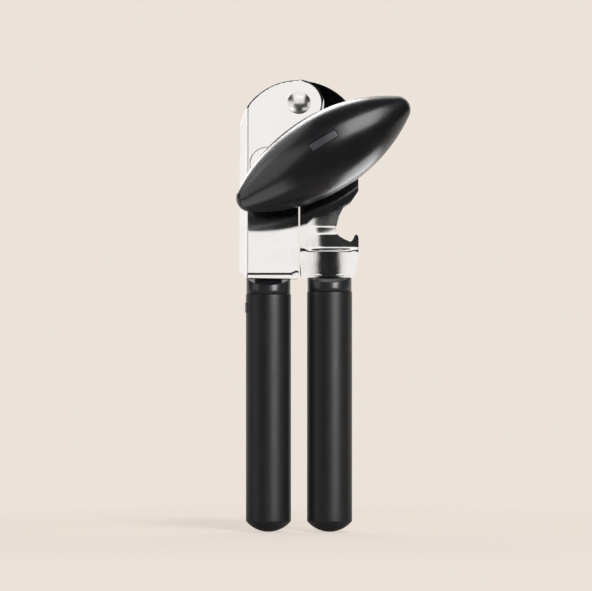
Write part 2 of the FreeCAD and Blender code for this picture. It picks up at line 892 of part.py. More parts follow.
    def feed_wheel(self, frame):
        """A toothed wheel with a square bore."""
        body = new_body("feed_wheel", frame)
        blank = new_sketch(body, "XZ_Plane", "blank", lift=-self.feed_back)
        circle(blank, self.feed_radius)
        pad(blank, self.feed_thickness, "blank_pad")
        half = self.shaft_square / 2 + self.fit_gap
        bore = new_sketch(body, "XZ_Plane", "bore")
        rectangle(bore, -half, -half, half, half)
        cut_through(bore, "bore_cut")
        notch = new_sketch(body, "XZ_Plane", "notch")
        root_radius = self.feed_radius - self.tooth_depth
        gap_half = self.feed_radius * (math.pi / 2 / DIMENSIONS["feed_teeth"])
        outline(
            notch,
            [
                (-gap_half * 0.45, root_radius),
                (gap_half * 0.45, root_radius),
                (gap_half * 1.35, self.feed_radius + 0.3),
                (-gap_half * 1.35, self.feed_radius + 0.3),
            ],
        )
        gap = cut_through(notch, "notch_cut")
        teeth = body.newObject("PartDesign::PolarPattern", "feed_wheel_teeth")
        teeth.Originals = [gap]
        teeth.Axis = (notch, ["N_Axis"])
        teeth.Angle = 360
        teeth.setExpression("Occurrences", self.feed_teeth.formula)
        body.Tip = teeth

    def knob_outline(self, inset):
        """Half of the pointed oval: a long arc that runs into a small arc at each tip."""
        length = self.knob_half_length - inset
        width = self.knob_half_width - inset
        tip = self.knob_tip_radius - inset / 2
        run = length - tip
        side = (run * run / (width - tip) + tip + width) / 2
        x = side * run / (side - tip)
        y = side * (side - width) / (side - tip) - (side - width)
        return [(length, 0.0), (x, y, tip, 1), (-x, y, side, 1), (-length, 0.0, tip, 1)]

    def knob_blank(self, body, inset=0.0, kind="Revolution"):
        sketch = new_sketch(body, "XY_Plane", f"oval_{kind}", slide=-self.knob_axis)
        outline(sketch, self.knob_outline(inset))
        return revolve(sketch, "H_Axis", f"oval_{kind}_turn", kind)

    def cut_face(self, body, front, depth, name, backward=False, half=(FAR, FAR)):
        """Cut a level block out of the knob, starting a given distance in front of the sheet."""
        sketch = new_sketch(body, "XZ_Plane", name, lift=front)
        rectangle(sketch, -half[0], -half[1], half[0], half[1])
        pocket(sketch, depth, f"{name}_cut", backward)

    def knob(self):
        """Domed cover, base with the hub, blank plug and the screw under it."""
        frame = self.head(self.drive_across, self.wheel_rise, -self.knob_turn)
        crown = self.knob_axis + self.knob_half_width
        cover = new_body("knob_cover", frame)
        self.knob_blank(cover)
        self.cut_face(cover, self.knob_axis, FAR, "lower_half")
        self.knob_blank(cover, self.knob_wall, "Groove")
        window = (self.plug_long / 2 + self.fit_gap, self.plug_wide / 2 + self.fit_gap)
        self.cut_face(cover, crown + 1, self.knob_wall + 2, "plug_window", half=window)

        base = new_body("knob_base", frame)
        self.knob_blank(base)
        self.cut_face(base, self.knob_axis, FAR, "upper_half", backward=True)
        self.cut_face(base, self.knob_back, FAR, "underside")
        tray = new_sketch(base, "XZ_Plane", "tray", lift=self.knob_axis)
        inset = self.knob_wall + (self.knob_axis - self.knob_back) / 4
        front = self.knob_outline(inset)
        back = [(-x, -y, radius, 1) for x, y, radius, turn in front[1:]]
        outline(tray, back[2:] + front[1:] + back[:2])
        pocket(tray, self.knob_axis - self.knob_back - self.knob_wall, "tray_cut")
        hub = new_sketch(base, "XZ_Plane", "hub", lift=self.knob_back)
        circle(hub, self.hub_radius)
        pad(hub, self.hub_height - self.knob_back, "hub_pad")
        foot_front = self.bushing_stand + self.thrust_washer_thickness + self.end_play
        foot = new_sketch(base, "XZ_Plane", "foot", lift=self.knob_back)
        circle(foot, self.hub_foot_radius)
        pad(foot, self.knob_back - foot_front, "foot_pad", backward=True)
        square = self.shaft_square / 2 + self.fit_gap
        depth = self.shaft_reach + self.end_play - foot_front
        self.cut_face(base, foot_front, depth, "square_hole", backward=True, half=(square, square))
        seat = self.shaft_reach + self.hub_web
        counterbore = new_sketch(base, "XZ_Plane", "counterbore", lift=self.hub_height)
        circle(counterbore, self.knob_screw_head_radius + self.fit_gap)
        pocket(counterbore, self.hub_height - seat, "counterbore_cut")
        passage = new_sketch(base, "XZ_Plane", "passage", lift=self.hub_height)
        circle(passage, self.knob_screw_radius + self.fit_gap)
        pocket(passage, self.hub_height - self.shaft_reach, "passage_cut")

        plug = new_body("knob_plug", frame)
        self.knob_blank(plug, self.plug_recess)
        keep = new_sketch(plug, "XZ_Plane", "keep")
        rectangle(keep, -FAR, -FAR, FAR, FAR)
        long_half, wide_half = self.plug_long / 2, self.plug_wide / 2
        rectangle(keep, -long_half, -wide_half, long_half, wide_half)
        cut_through(keep, "keep_cut")
        self.cut_face(plug, crown - self.plug_depth, FAR, "plug_back")

        head_front = -seat - self.knob_screw_head_height
        head, shank = self.knob_screw_head_radius, self.knob_screw_radius
        screw = turned(
            "knob_screw",
            frame,
            [
                (0.0, head_front),
                (head - 0.4, head_front),
                (head, head_front + 0.4),
                (head, -seat),
                (shank, -seat),
                (shank, self.knob_screw_length - seat),
                (0.0, self.knob_screw_length - seat),
            ],
        )
        slot = new_sketch(screw, "XZ_Plane", "slot", lift=-head_front)
        rectangle(slot, -head - 1, -0.5, head + 1, 0.5)
        pocket(slot, 0.8, "slot_cut")

    def build(self):
        self.left_arm()
        self.right_arm()
        grip = self.handle_pieces("left", -1, self.grip_length)
        self.handle_pieces("right", 1, self.grip_length + self.right_grip_extra)
        self.grip_pad(grip)
        self.pivot()
        self.cutter()
        self.drive()
        self.knob()


def check(document):
    """Stop on any failed object or bad solid before a file is written."""
    for item in document.Objects:
        if "Invalid" in item.State or "Error" in item.State:
            raise RuntimeError(f"{item.Label} failed: {item.State}")
    bodies = [item for item in document.Objects if item.TypeId == "PartDesign::Body"]
    for body in bodies:
        if body.Shape.isNull() or not body.Shape.isValid():
            raise RuntimeError(f"{body.Label} has no valid shape")
        if len(body.Shape.Solids) != 1:
            raise RuntimeError(f"{body.Label} has {len(body.Shape.Solids)} solids")
    return bodies


def main():
    document = FreeCAD.newDocument("CanOpener")
    opener = Opener(driving_sheet(document))
    opener.build()
    document.recompute()
    bodies = check(document)
    os.makedirs("parts", exist_ok=True)
    for body in bodies:
        body.Shape.exportStep(os.path.join("parts", f"{body.Label}.step"))


main()
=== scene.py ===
"""The finished manual can opener: bright steel arms, soft black grips and a black oval knob.

Laid out as an add-on and run as a script. Lengths are in metres, +Z is up, and the knob
faces -Y. The steel head leans back, so its pieces are placed with three directions read from
the hinge: ACROSS the head, FRONT out of the sheet, and CLIMB up the sheet.
"""

import bmesh
import bpy
import json
import math
import numpy as np
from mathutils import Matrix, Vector
from mathutils.geometry import delaunay_2d_cdt
from bpy.props import FloatProperty, FloatVectorProperty, IntProperty, PointerProperty

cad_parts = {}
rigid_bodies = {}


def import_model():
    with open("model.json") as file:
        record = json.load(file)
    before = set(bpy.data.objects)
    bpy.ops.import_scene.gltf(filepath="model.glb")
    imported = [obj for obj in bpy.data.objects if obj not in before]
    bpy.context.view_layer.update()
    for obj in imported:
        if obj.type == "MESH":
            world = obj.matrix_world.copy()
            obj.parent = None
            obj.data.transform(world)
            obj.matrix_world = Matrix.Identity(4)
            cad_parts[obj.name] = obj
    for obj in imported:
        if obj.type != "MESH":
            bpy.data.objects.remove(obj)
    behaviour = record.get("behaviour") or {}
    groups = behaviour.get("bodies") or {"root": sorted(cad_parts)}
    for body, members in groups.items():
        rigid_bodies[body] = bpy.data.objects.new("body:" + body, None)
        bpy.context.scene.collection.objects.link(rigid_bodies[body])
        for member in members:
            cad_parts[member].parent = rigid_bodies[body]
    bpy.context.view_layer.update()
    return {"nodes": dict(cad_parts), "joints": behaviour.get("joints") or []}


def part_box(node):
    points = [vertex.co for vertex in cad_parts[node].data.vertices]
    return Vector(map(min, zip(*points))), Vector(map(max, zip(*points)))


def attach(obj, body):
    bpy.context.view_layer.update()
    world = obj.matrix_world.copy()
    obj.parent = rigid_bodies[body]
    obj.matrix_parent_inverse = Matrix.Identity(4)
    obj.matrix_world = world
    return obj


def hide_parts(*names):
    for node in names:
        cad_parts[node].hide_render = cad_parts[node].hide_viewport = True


bl_info = {
    "name": "Can Opener Finish",
    "version": (1, 0, 0),
    "blender": (4, 5, 0),
    "location": "3D View > Sidebar > Opener",
    "description": "Builds the finished grips, collars, arms, wheels and knob of a can opener",
    "category": "Object",
}

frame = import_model()
JOINTS = {joint["name"]: joint for joint in frame["joints"]}
PIVOT = np.array(JOINTS["arm_pivot"]["pos_m"])
HUB = np.array(JOINTS["knob_turn"]["pos_m"])
STUD = np.array(JOINTS["cutter_spin"]["pos_m"])
FRONT = np.array(JOINTS["arm_pivot"]["axis"])
ACROSS = np.array([1.0, 0.0, 0.0])
CLIMB = np.cross(FRONT, ACROSS)
UP = np.array([0.0, 0.0, 1.0])
MM = 0.001


def length(name, description, millimetres):
    """A length that the user can change."""
    return FloatProperty(
        name=name, description=description, default=millimetres * MM, unit="LENGTH"
    )


def colour(name, description, red, green, blue):
    """A colour that the user can change."""
    return FloatVectorProperty(
        name=name, description=description, default=(red, green, blue), subtype="COLOR"
    )


class HeadSizes(bpy.types.PropertyGroup):
    """Sizes of the steel head, up the sheet from the bend."""

    sheet: length("Sheet", "Thickness of the steel", 1.5)
    half_width: length("Half width", "Seam to outer edge", 23.8)
    head_radius: length("Top radius", "Round top of the head", 25.0)
    head_top: length("Top", "Height of the top", 83.7)
    pivot_rise: length("Pivot height", "Height of the rivet", 73.6)
    wheel_rise: length("Wheel height", "Height of both wheels", 47.6)
    lobe: length("Lobe radius", "Round lug at the rivet", 10.1)
    stud: length("Stud radius", "Flush disc on the left", 7.0)
    joggle: length("Step", "Step back behind the lug", 2.3)
    flange_wide: length("Flange width", "Fold to outer edge", 2.6)
    flange_deep: length("Flange depth", "How far it runs back", 4.0)
    left_foot: length("Left foot", "Lower edge on the left", -0.9)
    neck_foot: length("Neck foot", "Lower edge of the neck", -0.1)
    crease: length("Crease", "Where the neck turns upright", 11.2)
    neck_middle: length("Neck middle", "Seam to the neck's middle", 11.9)
    neck_bulge: length("Neck bulge", "How far the neck stands out", 1.4)
    neck_core: length("Neck core", "Roundness of its middle", 0.7)
    neck_slope: FloatProperty(
        name="Neck slope", description="Fall of its shoulders", default=0.18, min=0.0
    )
    tang_width: length("Tang width", "Blade in the handle", 11.0)
    tang_low: length("Tang end", "Height of its lower end", 45.0)


class GripSizes(bpy.types.PropertyGroup):
    """Sizes of the handles that the frame's boxes don't give."""

    bore: length("Grip bore", "Radius inside the grip", 7.0)
    cap_rise: length("Cap rise", "Height of the domed end", 4.3)
    cap_round: length("Cap edge", "Rounding between cap and side", 0.7)
    rim_round: length("Rim edge", "Rounding at the open end", 0.35)
    bevel_start: length("Bevel start", "The slope begins this far before the handle's axis", 2.0)
    bevel_drop: length("Bevel drop", "Fall of the collar's slope", 2.6)


class KnobSizes(bpy.types.PropertyGroup):
    """Sizes of the oval knob."""

    half_length: length("Half length", "Centre to tip", 40.3)
    half_width: length("Half width", "Radius at the middle", 16.0)
    tip: length("Tip radius", "Rounding of each tip", 5.5)
    axis_height: length("Axis height", "Long axis in front of the sheet", 12.0)
    back_height: length("Underside height", "Flat underside in front of the sheet", 5.5)
    turn: FloatProperty(
        name="Turn",
        description="Long axis above level at rest",
        default=math.radians(32.5),
        subtype="ANGLE",
    )
    plug_long: length("Plug length", "Window for the inlaid plug", 12.4)
    plug_wide: length("Plug width", "Window for the inlaid plug", 3.6)


class Finishes(bpy.types.PropertyGroup):
    """Colours of the materials."""

    steel: colour("Steel", "Tint of the sheet", 0.95, 0.95, 0.95)
    grip: colour("Grip", "Soft grip", 0.0085, 0.0088, 0.0098)
    knob: colour("Knob", "Moulded knob", 0.0092, 0.0093, 0.0103)
    brass: colour("Brass", "Bushings", 0.72, 0.50, 0.22)
    paper: colour("Backdrop", "Floor and backdrop", 0.831, 0.768, 0.701)


class Detail(bpy.types.PropertyGroup):
    """How finely the curved pieces are divided."""

    around: IntProperty(name="Around", description="Steps round a handle", default=128, min=24)
    along: IntProperty(name="Along", description="Steps along the knob", default=161, min=41)


# ---------------------------------------------------------------- surfaces


def mesh_from_grid(name, points, wrap_rows=False, wrap_columns=True, sharp=35.0):
    """Mesh of quads from points[row, column]; wrapped sides join up and poles are closed."""
    rows, columns = points.shape[:2]
    number = np.arange(rows * columns).reshape(rows, columns)
    below = np.roll(number, -1, axis=0) if wrap_rows else number[1:]
    here = number if wrap_rows else number[:-1]
    if wrap_columns:
        quads = [here, np.roll(here, -1, axis=1), np.roll(below, -1, axis=1), below]
    else:
        quads = [here[:, :-1], here[:, 1:], below[:, 1:], below[:, :-1]]
    faces = np.stack(quads, axis=-1).reshape(-1, 4)
    mesh = bpy.data.meshes.new(name)
    mesh.from_pydata(points.reshape(-1, 3).tolist(), [], faces.tolist())
    clean(mesh, sharp)
    return mesh


def clean(mesh, sharp=35.0):
    """Merge doubles, point the faces outwards and shade smooth up to an angle."""
    same_spot, no_length = 1e-6, 1e-7
    shape = bmesh.new()
    shape.from_mesh(mesh)
    bmesh.ops.remove_doubles(shape, verts=shape.verts, dist=same_spot)
    bmesh.ops.dissolve_degenerate(shape, edges=shape.edges, dist=no_length)
    bmesh.ops.recalc_face_normals(shape, faces=shape.faces)
    shape.to_mesh(mesh)
    shape.free()
    mesh.shade_smooth()
    mesh.set_sharp_from_angle(angle=math.radians(sharp))


def lathe(name, profile, centre, axis, steps):
    """Surface of revolution: centre + h*axis + r*(cos a, sin a) for each (r, h) of the profile."""
    side = np.cross(axis, ACROSS)
    side = side / np.linalg.norm(side) if np.linalg.norm(side) > 0.1 else UP
    other = np.cross(axis, side)
    angle = np.linspace(0, 2 * math.pi, steps, endpoint=False)
    ring = np.cos(angle)[:, None] * side + np.sin(angle)[:, None] * other
    radius, height = profile[:, 0], profile[:, 1]
    points = centre + radius[:, None, None] * ring + (height[:, None] * axis)[:, None, :]
    return mesh_from_grid(name, points)


def rounded(corners, steps=6):
    """Profile through (x, y, radius) corners, each replaced by an arc of its radius."""
    corners = np.array(corners, dtype=float)
    run = [corners[0, :2]]
    for before, here, after in zip(corners[:-2], corners[1:-1], corners[2:]):
        come = (before[:2] - here[:2]) / np.linalg.norm(before[:2] - here[:2])
        leave = (after[:2] - here[:2]) / np.linalg.norm(after[:2] - here[:2])
        half = math.acos(max(-1.0, min(1.0, float(come @ leave)))) / 2
        if here[2] <= 0 or half > 1.56:
            run.append(here[:2])
            continue
        middle = (come + leave) / np.linalg.norm(come + leave)
        centre = here[:2] + middle * here[2] / math.sin(half)
        first = here[:2] + come * here[2] / math.tan(half) - centre
        last = here[:2] + leave * here[2] / math.tan(half) - centre
        sweep = math.pi - 2 * half
        share = np.linspace(0, 1, steps + 1)[:, None]
        arc = (np.sin((1 - share) * sweep) * first + np.sin(share * sweep) * last) / math.sin(sweep)
        run.extend(centre + arc)
    run.append(corners[-1, :2])
    return np.array(run)


def knob_radius(x, sizes, inset=0.0):
    """Radius of the pointed oval at x: one long arc that runs into a small arc at each tip."""
    length, width = sizes.half_length - inset, sizes.half_width - inset
    tip = sizes.tip - inset / 2
    run = length - tip
    side = (run * run / (width - tip) + tip + width) / 2
    join = side * run / (side - tip)
    x = np.abs(x)
    middle = np.sqrt(np.maximum(side**2 - x**2, 0)) - (side - width)
    end = np.sqrt(np.maximum(tip**2 - (x - run) ** 2, 0))
    return np.where(x < join, middle, end)


def on_head(x, back, s):
    """Point x across, s up the sheet and the given depth behind the front face."""
    foot = PIVOT - CLIMB * bpy.context.scene.opener_head.pivot_rise
    return foot + x[:, None] * ACROSS + s[:, None] * CLIMB - back[:, None] * FRONT


def fine_path(corners, step=0.35 * MM):
    """Outline through (x, y[, radius, turn]) corners; a radius swings in on an arc of that turn."""
    run = []
    start = np.array(corners[-1][:2])
    for corner in corners:
        end = np.array(corner[:2])
        chord = end - start
        span = float(np.linalg.norm(chord))
        count = max(2, int(span / step) + 1)
        share = np.arange(1, count + 1) / count
        if len(corner) > 2:
            radius, turn = corner[2:]
            rise = math.sqrt(max(radius**2 - span**2 / 4, 0.0))
            left = np.array([-chord[1], chord[0]]) / span
            centre = start + chord / 2 + left * rise * turn
            first, last = start - centre, end - centre
            sweep = math.asin(min(1.0, span / 2 / radius)) * 2
            early = np.sin((1 - share) * sweep)[:, None] * first / math.sin(sweep)
            late = np.sin(share * sweep)[:, None] * last / math.sin(sweep)
            run.append(centre + early + late)
        else:
            run.append(start + share[:, None] * chord)
        start = end
    return np.concatenate(run)


def is_inside(points, loop):
    """Even-odd test: counts the loop's edges that pass to the right of each point."""
    x, y = points[:, 0, None], points[:, 1, None]
    after = np.roll(loop, -1, axis=0)
    spans = (loop[:, 1] > y) != (after[:, 1] > y)
    with np.errstate(divide="ignore", invalid="ignore"):
        step = after - loop
        cross = loop[:, 0] + (y - loop[:, 1]) * step[:, 0] / step[:, 1]
    return (spans & (x < cross)).sum(axis=1) % 2 == 1


def in_sheet(points, loops):
    """Whether each point is inside the first loop and outside the others, which are holes."""
    keep = is_inside(points, loops[0])
    for hole in loops[1:]:
        keep &= ~is_inside(points, hole)
    return keep


def inner_ring(loop, inset):
    """Spots square to an outline and inside it, without those that come nearer to another part."""
    along = np.roll(loop, -1, axis=0) - np.roll(loop, 1, axis=0)
    inward = np.stack([-along[:, 1], along[:, 0]], axis=1)
    ring = loop + inset * inward / np.linalg.norm(inward, axis=1, keepdims=True)
    gap = np.min(np.linalg.norm(ring[:, None] - loop[None], axis=-1), axis=1)
    return ring[is_inside(ring, loop) & (gap > inset * 0.8)]


RING_INSET = 0.3 * MM  # first row of points inside a stamping's edge


def sheet_net(loops, step):
    """Flat net of triangles between the outer loop and the holes, with an even grid inside."""
    outer = loops[0]
    crowded, tolerance, sliver = step * 0.45, 1e-9, 1e-12
    low, high = outer.min(axis=0), outer.max(axis=0)
    grid = np.meshgrid(np.arange(low[0], high[0], step), np.arange(low[1], high[1], step))
    grid = np.stack(grid, axis=-1).reshape(-1, 2)
    edge = np.concatenate(loops)
    ring = inner_ring(outer, RING_INSET)
    taken = np.concatenate([edge, ring])
    gap = np.min(np.linalg.norm(grid[:, None] - taken[None], axis=-1), axis=1)
    grid = np.concatenate([grid[in_sheet(grid, loops) & (gap > crowded)], ring])
    links, first = [], 0
    for loop in loops:
        number = np.arange(first, first + len(loop))
        links.append(np.stack([number, np.roll(number, -1)], axis=1))
        first += len(loop)
    flat = np.concatenate([edge, grid])
    spots = [Vector(spot) for spot in flat.tolist()]
    found = delaunay_2d_cdt(spots, np.concatenate(links).tolist(), [], 0, tolerance)
    flat = np.array([tuple(spot) for spot in found[0]])
    faces = np.array(found[2])
    faces = faces[in_sheet(flat[faces].mean(axis=1), loops)]
    one, two, three = (flat[faces[:, column]] for column in range(3))
    area = (two - one)[:, 0] * (three - one)[:, 1] - (two - one)[:, 1] * (three - one)[:, 0]
    faces[area < 0] = faces[area < 0][:, ::-1]
    return flat, faces[np.abs(area) > sliver]


def stamping(name, loops, form, step=0.5 * MM):
    """Front skin of a stamping: the flat net (x, s) with form(x, s) giving its place in space."""
    flat, faces = sheet_net(loops, step)
    mesh = bpy.data.meshes.new(name)
    mesh.from_pydata(form(flat[:, 0], flat[:, 1]).tolist(), [], faces.tolist())
    mesh.shade_smooth()
    return mesh


def strip(name, path, width, thick, centre_x):
    """Flat bar: a rectangle with broken corners carried along a path of (y, z) points."""
    path = np.array(path)
    way = np.gradient(path, axis=0)
    way /= np.linalg.norm(way, axis=1, keepdims=True)
    side = np.stack([way[:, 1], -way[:, 0]], axis=1)
    half, cut = width / 2, 0.15 * MM
    deep = thick / 2
    section = [
        (-half, deep - cut), (-half + cut, deep), (half - cut, deep), (half, deep - cut),
        (half, cut - deep), (half - cut, -deep), (cut - half, -deep), (-half, cut - deep),
    ]
    section = np.array(section)
    x = centre_x + section[:, 0] + np.zeros((len(path), 1))
    spot = path[:, None, :] + side[:, None, :] * section[:, 1, None]
    points = np.concatenate([x[..., None], spot], axis=-1)
    ends = points[[0, -1]].mean(axis=1, keepdims=True) + np.zeros((1, len(section), 1))
    points = np.concatenate([ends[:1], points, ends[1:]])
    return mesh_from_grid(name, points)


def smooth(value, low, high):
    """0 below low and 1 above high, with an even S between."""
    share = np.clip((value - low) / (high - low), 0, 1)
    return share * share * (3 - 2 * share)


def circle_loop(radius, x, s):
    """Round hole: (x + radius*cos a, s + radius*sin a), 16 points to each millimetre of radius."""
    turn = np.linspace(0, 2 * math.pi, max(24, int(radius / MM * 16)), endpoint=False)
    return np.stack([x + radius * np.cos(turn), s + radius * np.sin(turn)], axis=1)


# --------------------------------------------------------------- materials


def add_node(tree, kind, **settings):
    """A node with its sockets (from_min is the one called From Min) or properties set."""
    node = tree.nodes.new(kind)
    for name, value in settings.items():
        socket = name.replace("_", " ").title()
        if socket in node.inputs:
            node.inputs[socket].default_value = value
        else:
            setattr(node, name, value)
    return node


def wire(source, output, target, socket):
    """Lead a node's output into another node's socket."""
    source.id_data.links.new(source.outputs[output], target.inputs[socket])


def new_group(name, inputs, outputs):
    """An empty shader node group that takes a vector and numbers, and gives numbers."""
    tree = bpy.data.node_groups.new(name, "ShaderNodeTree")
    tree.interface.new_socket("Vector", in_out="INPUT", socket_type="NodeSocketVector")
    for label, value in inputs.items():
        socket = tree.interface.new_socket(label, in_out="INPUT", socket_type="NodeSocketFloat")
        socket.default_value = value
    for label in outputs:
        tree.interface.new_socket(label, in_out="OUTPUT", socket_type="NodeSocketFloat")
    return tree, tree.nodes.new("NodeGroupInput"), tree.nodes.new("NodeGroupOutput")


def handling_marks():
    """Broad soft patches and faint streaks, as left by hands and wiping; spreads a value."""
    name = "Handling Marks"
    if name in bpy.data.node_groups:
        return bpy.data.node_groups[name]
    inputs = {"Low": 0.1, "High": 0.2, "Patch Scale": 60.0}
    tree, given, result = new_group(name, inputs, ("Value", "Mask"))
    patches = add_node(tree, "ShaderNodeTexNoise", detail=4.0, roughness=0.62, distortion=0.4)
    stretch = add_node(tree, "ShaderNodeMapping", scale=(1.0, 1.0, 0.16))
    streaks = add_node(tree, "ShaderNodeTexNoise", scale=900.0, detail=2.0, roughness=0.5)
    blend = add_node(tree, "ShaderNodeMath", operation="MULTIPLY_ADD")
    streak_share = blend.inputs[1]
    streak_share.default_value = 0.35
    span = add_node(tree, "ShaderNodeMapRange", from_min=0.45, from_max=0.95)
    wire(given, "Vector", patches, "Vector")
    wire(given, "Patch Scale", patches, "Scale")
    wire(given, "Vector", stretch, "Vector")
    wire(stretch, "Vector", streaks, "Vector")
    wire(streaks, "Fac", blend, 0)
    wire(patches, "Fac", blend, 2)
    wire(blend, "Value", span, "Value")
    wire(given, "Low", span, "To Min")
    wire(given, "High", span, "To Max")
    wire(span, "Result", result, "Value")
    wire(patches, "Fac", result, "Mask")
    return tree


def moulded_grain():
    """Fine pebble of a moulded surface: small cells over finer noise; gives a height."""
    name = "Moulded Grain"
    if name in bpy.data.node_groups:
        return bpy.data.node_groups[name]
    tree, given, result = new_group(name, {"Scale": 2500.0, "Pebble": 0.6}, ("Height",))
    cells = add_node(tree, "ShaderNodeTexVoronoi", feature="SMOOTH_F1", smoothness=0.7)
    fine = add_node(tree, "ShaderNodeTexNoise", detail=3.0, roughness=0.6)
    mix = add_node(tree, "ShaderNodeMix", data_type="FLOAT")
    wire(given, "Vector", cells, "Vector")
    wire(given, "Scale", cells, "Scale")
    wire(given, "Vector", fine, "Vector")
    wire(given, "Scale", fine, "Scale")
    wire(given, "Pebble", mix, "Factor")
    wire(fine, "Fac", mix, "A")
    wire(cells, "Distance", mix, "B")
    wire(mix, "Result", result, "Height")
    return tree


def new_material(name):
    """A material with its tree, its shader and the object coordinates that patterns read."""
    material = bpy.data.materials.new(name)
    material.use_nodes = True
    tree = material.node_tree
    shader = tree.nodes["Principled BSDF"]
    place = tree.nodes.new("ShaderNodeTexCoord")
    return material, tree, shader, place.outputs["Object"]


def use_group(tree, group, vector, **values):
    """A shared effect placed in a material, with its own values."""
    node = add_node(tree, "ShaderNodeGroup", node_tree=group, **values)
    tree.links.new(vector, node.inputs["Vector"])
    return node


def add_bump(tree, shader, height, strength, distance):
    bump = add_node(tree, "ShaderNodeBump", strength=strength, distance=distance)
    tree.links.new(height, bump.inputs["Height"])
    wire(bump, "Normal", shader, "Normal")


MIX_FACTOR, MIX_A, MIX_B, MIX_RESULT = 0, 6, 7, 2  # a Mix node's sockets for colours


def vary_colour(tree, mask, low, high, target):
    """Colour that goes from the low tone to the high one with a mask, led to a socket."""
    mix = add_node(tree, "ShaderNodeMix", data_type="RGBA")
    mix.inputs[MIX_A].default_value = (*low, 1.0)
    mix.inputs[MIX_B].default_value = (*high, 1.0)
    tree.links.new(mask, mix.inputs[MIX_FACTOR])
    tree.links.new(mix.outputs[MIX_RESULT], target)


def scaled(tone, share):
    return tuple(channel * share for channel in tone)


def metal(name, colour, low, high, brush, line_stretch=(600.0, 600.0, 14.0)):
    """Bare metal: varied gloss, faint tone drift and fine polishing lines."""
    material, tree, shader, vector = new_material(name)
    shader.inputs["Metallic"].default_value = 1.0
    marks = use_group(tree, handling_marks(), vector, low=low, high=high, patch_scale=70.0)
    wire(marks, "Value", shader, "Roughness")
    darker = scaled(colour, 0.93)
    vary_colour(tree, marks.outputs["Mask"], darker, colour, shader.inputs["Base Color"])
    stretch = add_node(tree, "ShaderNodeMapping", scale=line_stretch)
    lines = add_node(tree, "ShaderNodeTexNoise", scale=6.0, detail=3.0, roughness=0.55)
    tree.links.new(vector, stretch.inputs["Vector"])
    wire(stretch, "Vector", lines, "Vector")
    add_bump(tree, shader, lines.outputs["Fac"], brush, 0.02 * MM)
    return material


def plastic(name, colour, low, high, scale, grain, pebble=0.6):
    """Moulded plastic or rubber: grain in the skin, handled patches and a slight tone drift."""
    material, tree, shader, vector = new_material(name)
    marks = use_group(tree, handling_marks(), vector, low=low, high=high, patch_scale=90.0)
    wire(marks, "Value", shader, "Roughness")
    lighter = tuple(channel * 1.35 + 0.0006 for channel in colour)
    vary_colour(tree, marks.outputs["Mask"], colour, lighter, shader.inputs["Base Color"])
    skin = use_group(tree, moulded_grain(), vector, scale=scale, pebble=pebble)
    add_bump(tree, shader, skin.outputs["Height"], grain, 0.06 * MM)
    return material


def materials():
    """The opener's finishes, built once."""
    tones = bpy.context.scene.opener_finishes
    if "Bright Steel" not in bpy.data.materials:
        # finish, tone, smallest and largest roughness, depth of the polishing lines
        metal("Bright Steel", tones.steel, 0.07, 0.16, 0.25)
        metal("Ground Steel", scaled(tones.steel, 0.86), 0.2, 0.34, 0.5, (900, 60, 900))
        metal("Rivet Steel", scaled(tones.steel, 0.93), 0.18, 0.3, 0.3)
        metal("Brass", tones.brass, 0.2, 0.35, 0.3)
        # finish, tone, smallest and largest roughness, grains to a metre, depth of the grain
        plastic("Soft Grip", tones.grip, 0.42, 0.5, 2600.0, 0.3, pebble=0.75)
        # the collar's tone is 2.4 times the grip's: a lighter black that paints a sheen on the
        # sloped top, where the tang shades it
        plastic("Collar", scaled(tones.grip, 2.4), 0.26, 0.36, 1800.0, 0.06)
        plastic("Knob", tones.knob, 0.2, 0.3, 1500.0, 0.05)
        # the plug's tone is four times the knob's: a lighter copy of the knob's black that paints
        # the sheen on the plug's face
        plastic("Plug", scaled(tones.knob, 4), 0.3, 0.4, 1500.0, 0.08)
        plastic("Nylon", tones.knob, 0.38, 0.5, 2200.0, 0.2)
    return bpy.data.materials


# ------------------------------------------------------------------ pieces


def add_object(name, data):
    thing = bpy.data.objects.new(name, data)
    bpy.context.scene.collection.objects.link(thing)
    return thing


def soften_edges(piece, width, angle):
    """Round the edges that turn by more than the angle in degrees."""
    bevel = piece.modifiers.new("Soft edges", "BEVEL")
    bevel.width = width
    bevel.segments = 3
    bevel.limit_method = "ANGLE"
    bevel.angle_limit = math.radians(angle)
    bevel.harden_normals = True


def place_piece(mesh, body, nodes, slot, finish, bevel=0.0):
    """Make the piece's object, let it ride on its body and stand for its CAD nodes."""
    piece = add_object(mesh.name, mesh)
    mesh.materials.clear()
    mesh.materials.append(materials()[finish])
    if bevel:
        soften_edges(piece, bevel, 32)
    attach(piece, body)
    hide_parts(*nodes)
    return piece


def softened_copy(node, body, slot, finish, bevel):
    """The CAD piece with its edges broken, as a tumbled stamping or a turned part has."""
    mesh = frame["nodes"][node].data.copy()
    mesh.name = f"{node}_finished"
    clean(mesh, 28.0)
    return place_piece(mesh, body, [node], slot, finish, bevel)


def handle_axis(node):
    """Centre line, radius, bottom and top of a round upright CAD piece."""
    low, high = (np.array(corner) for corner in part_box(node))
    middle = (low + high) / 2
    middle[2] = 0.0
    return middle, float(high[1] - low[1]) / 2, float(low[2]), float(high[2])


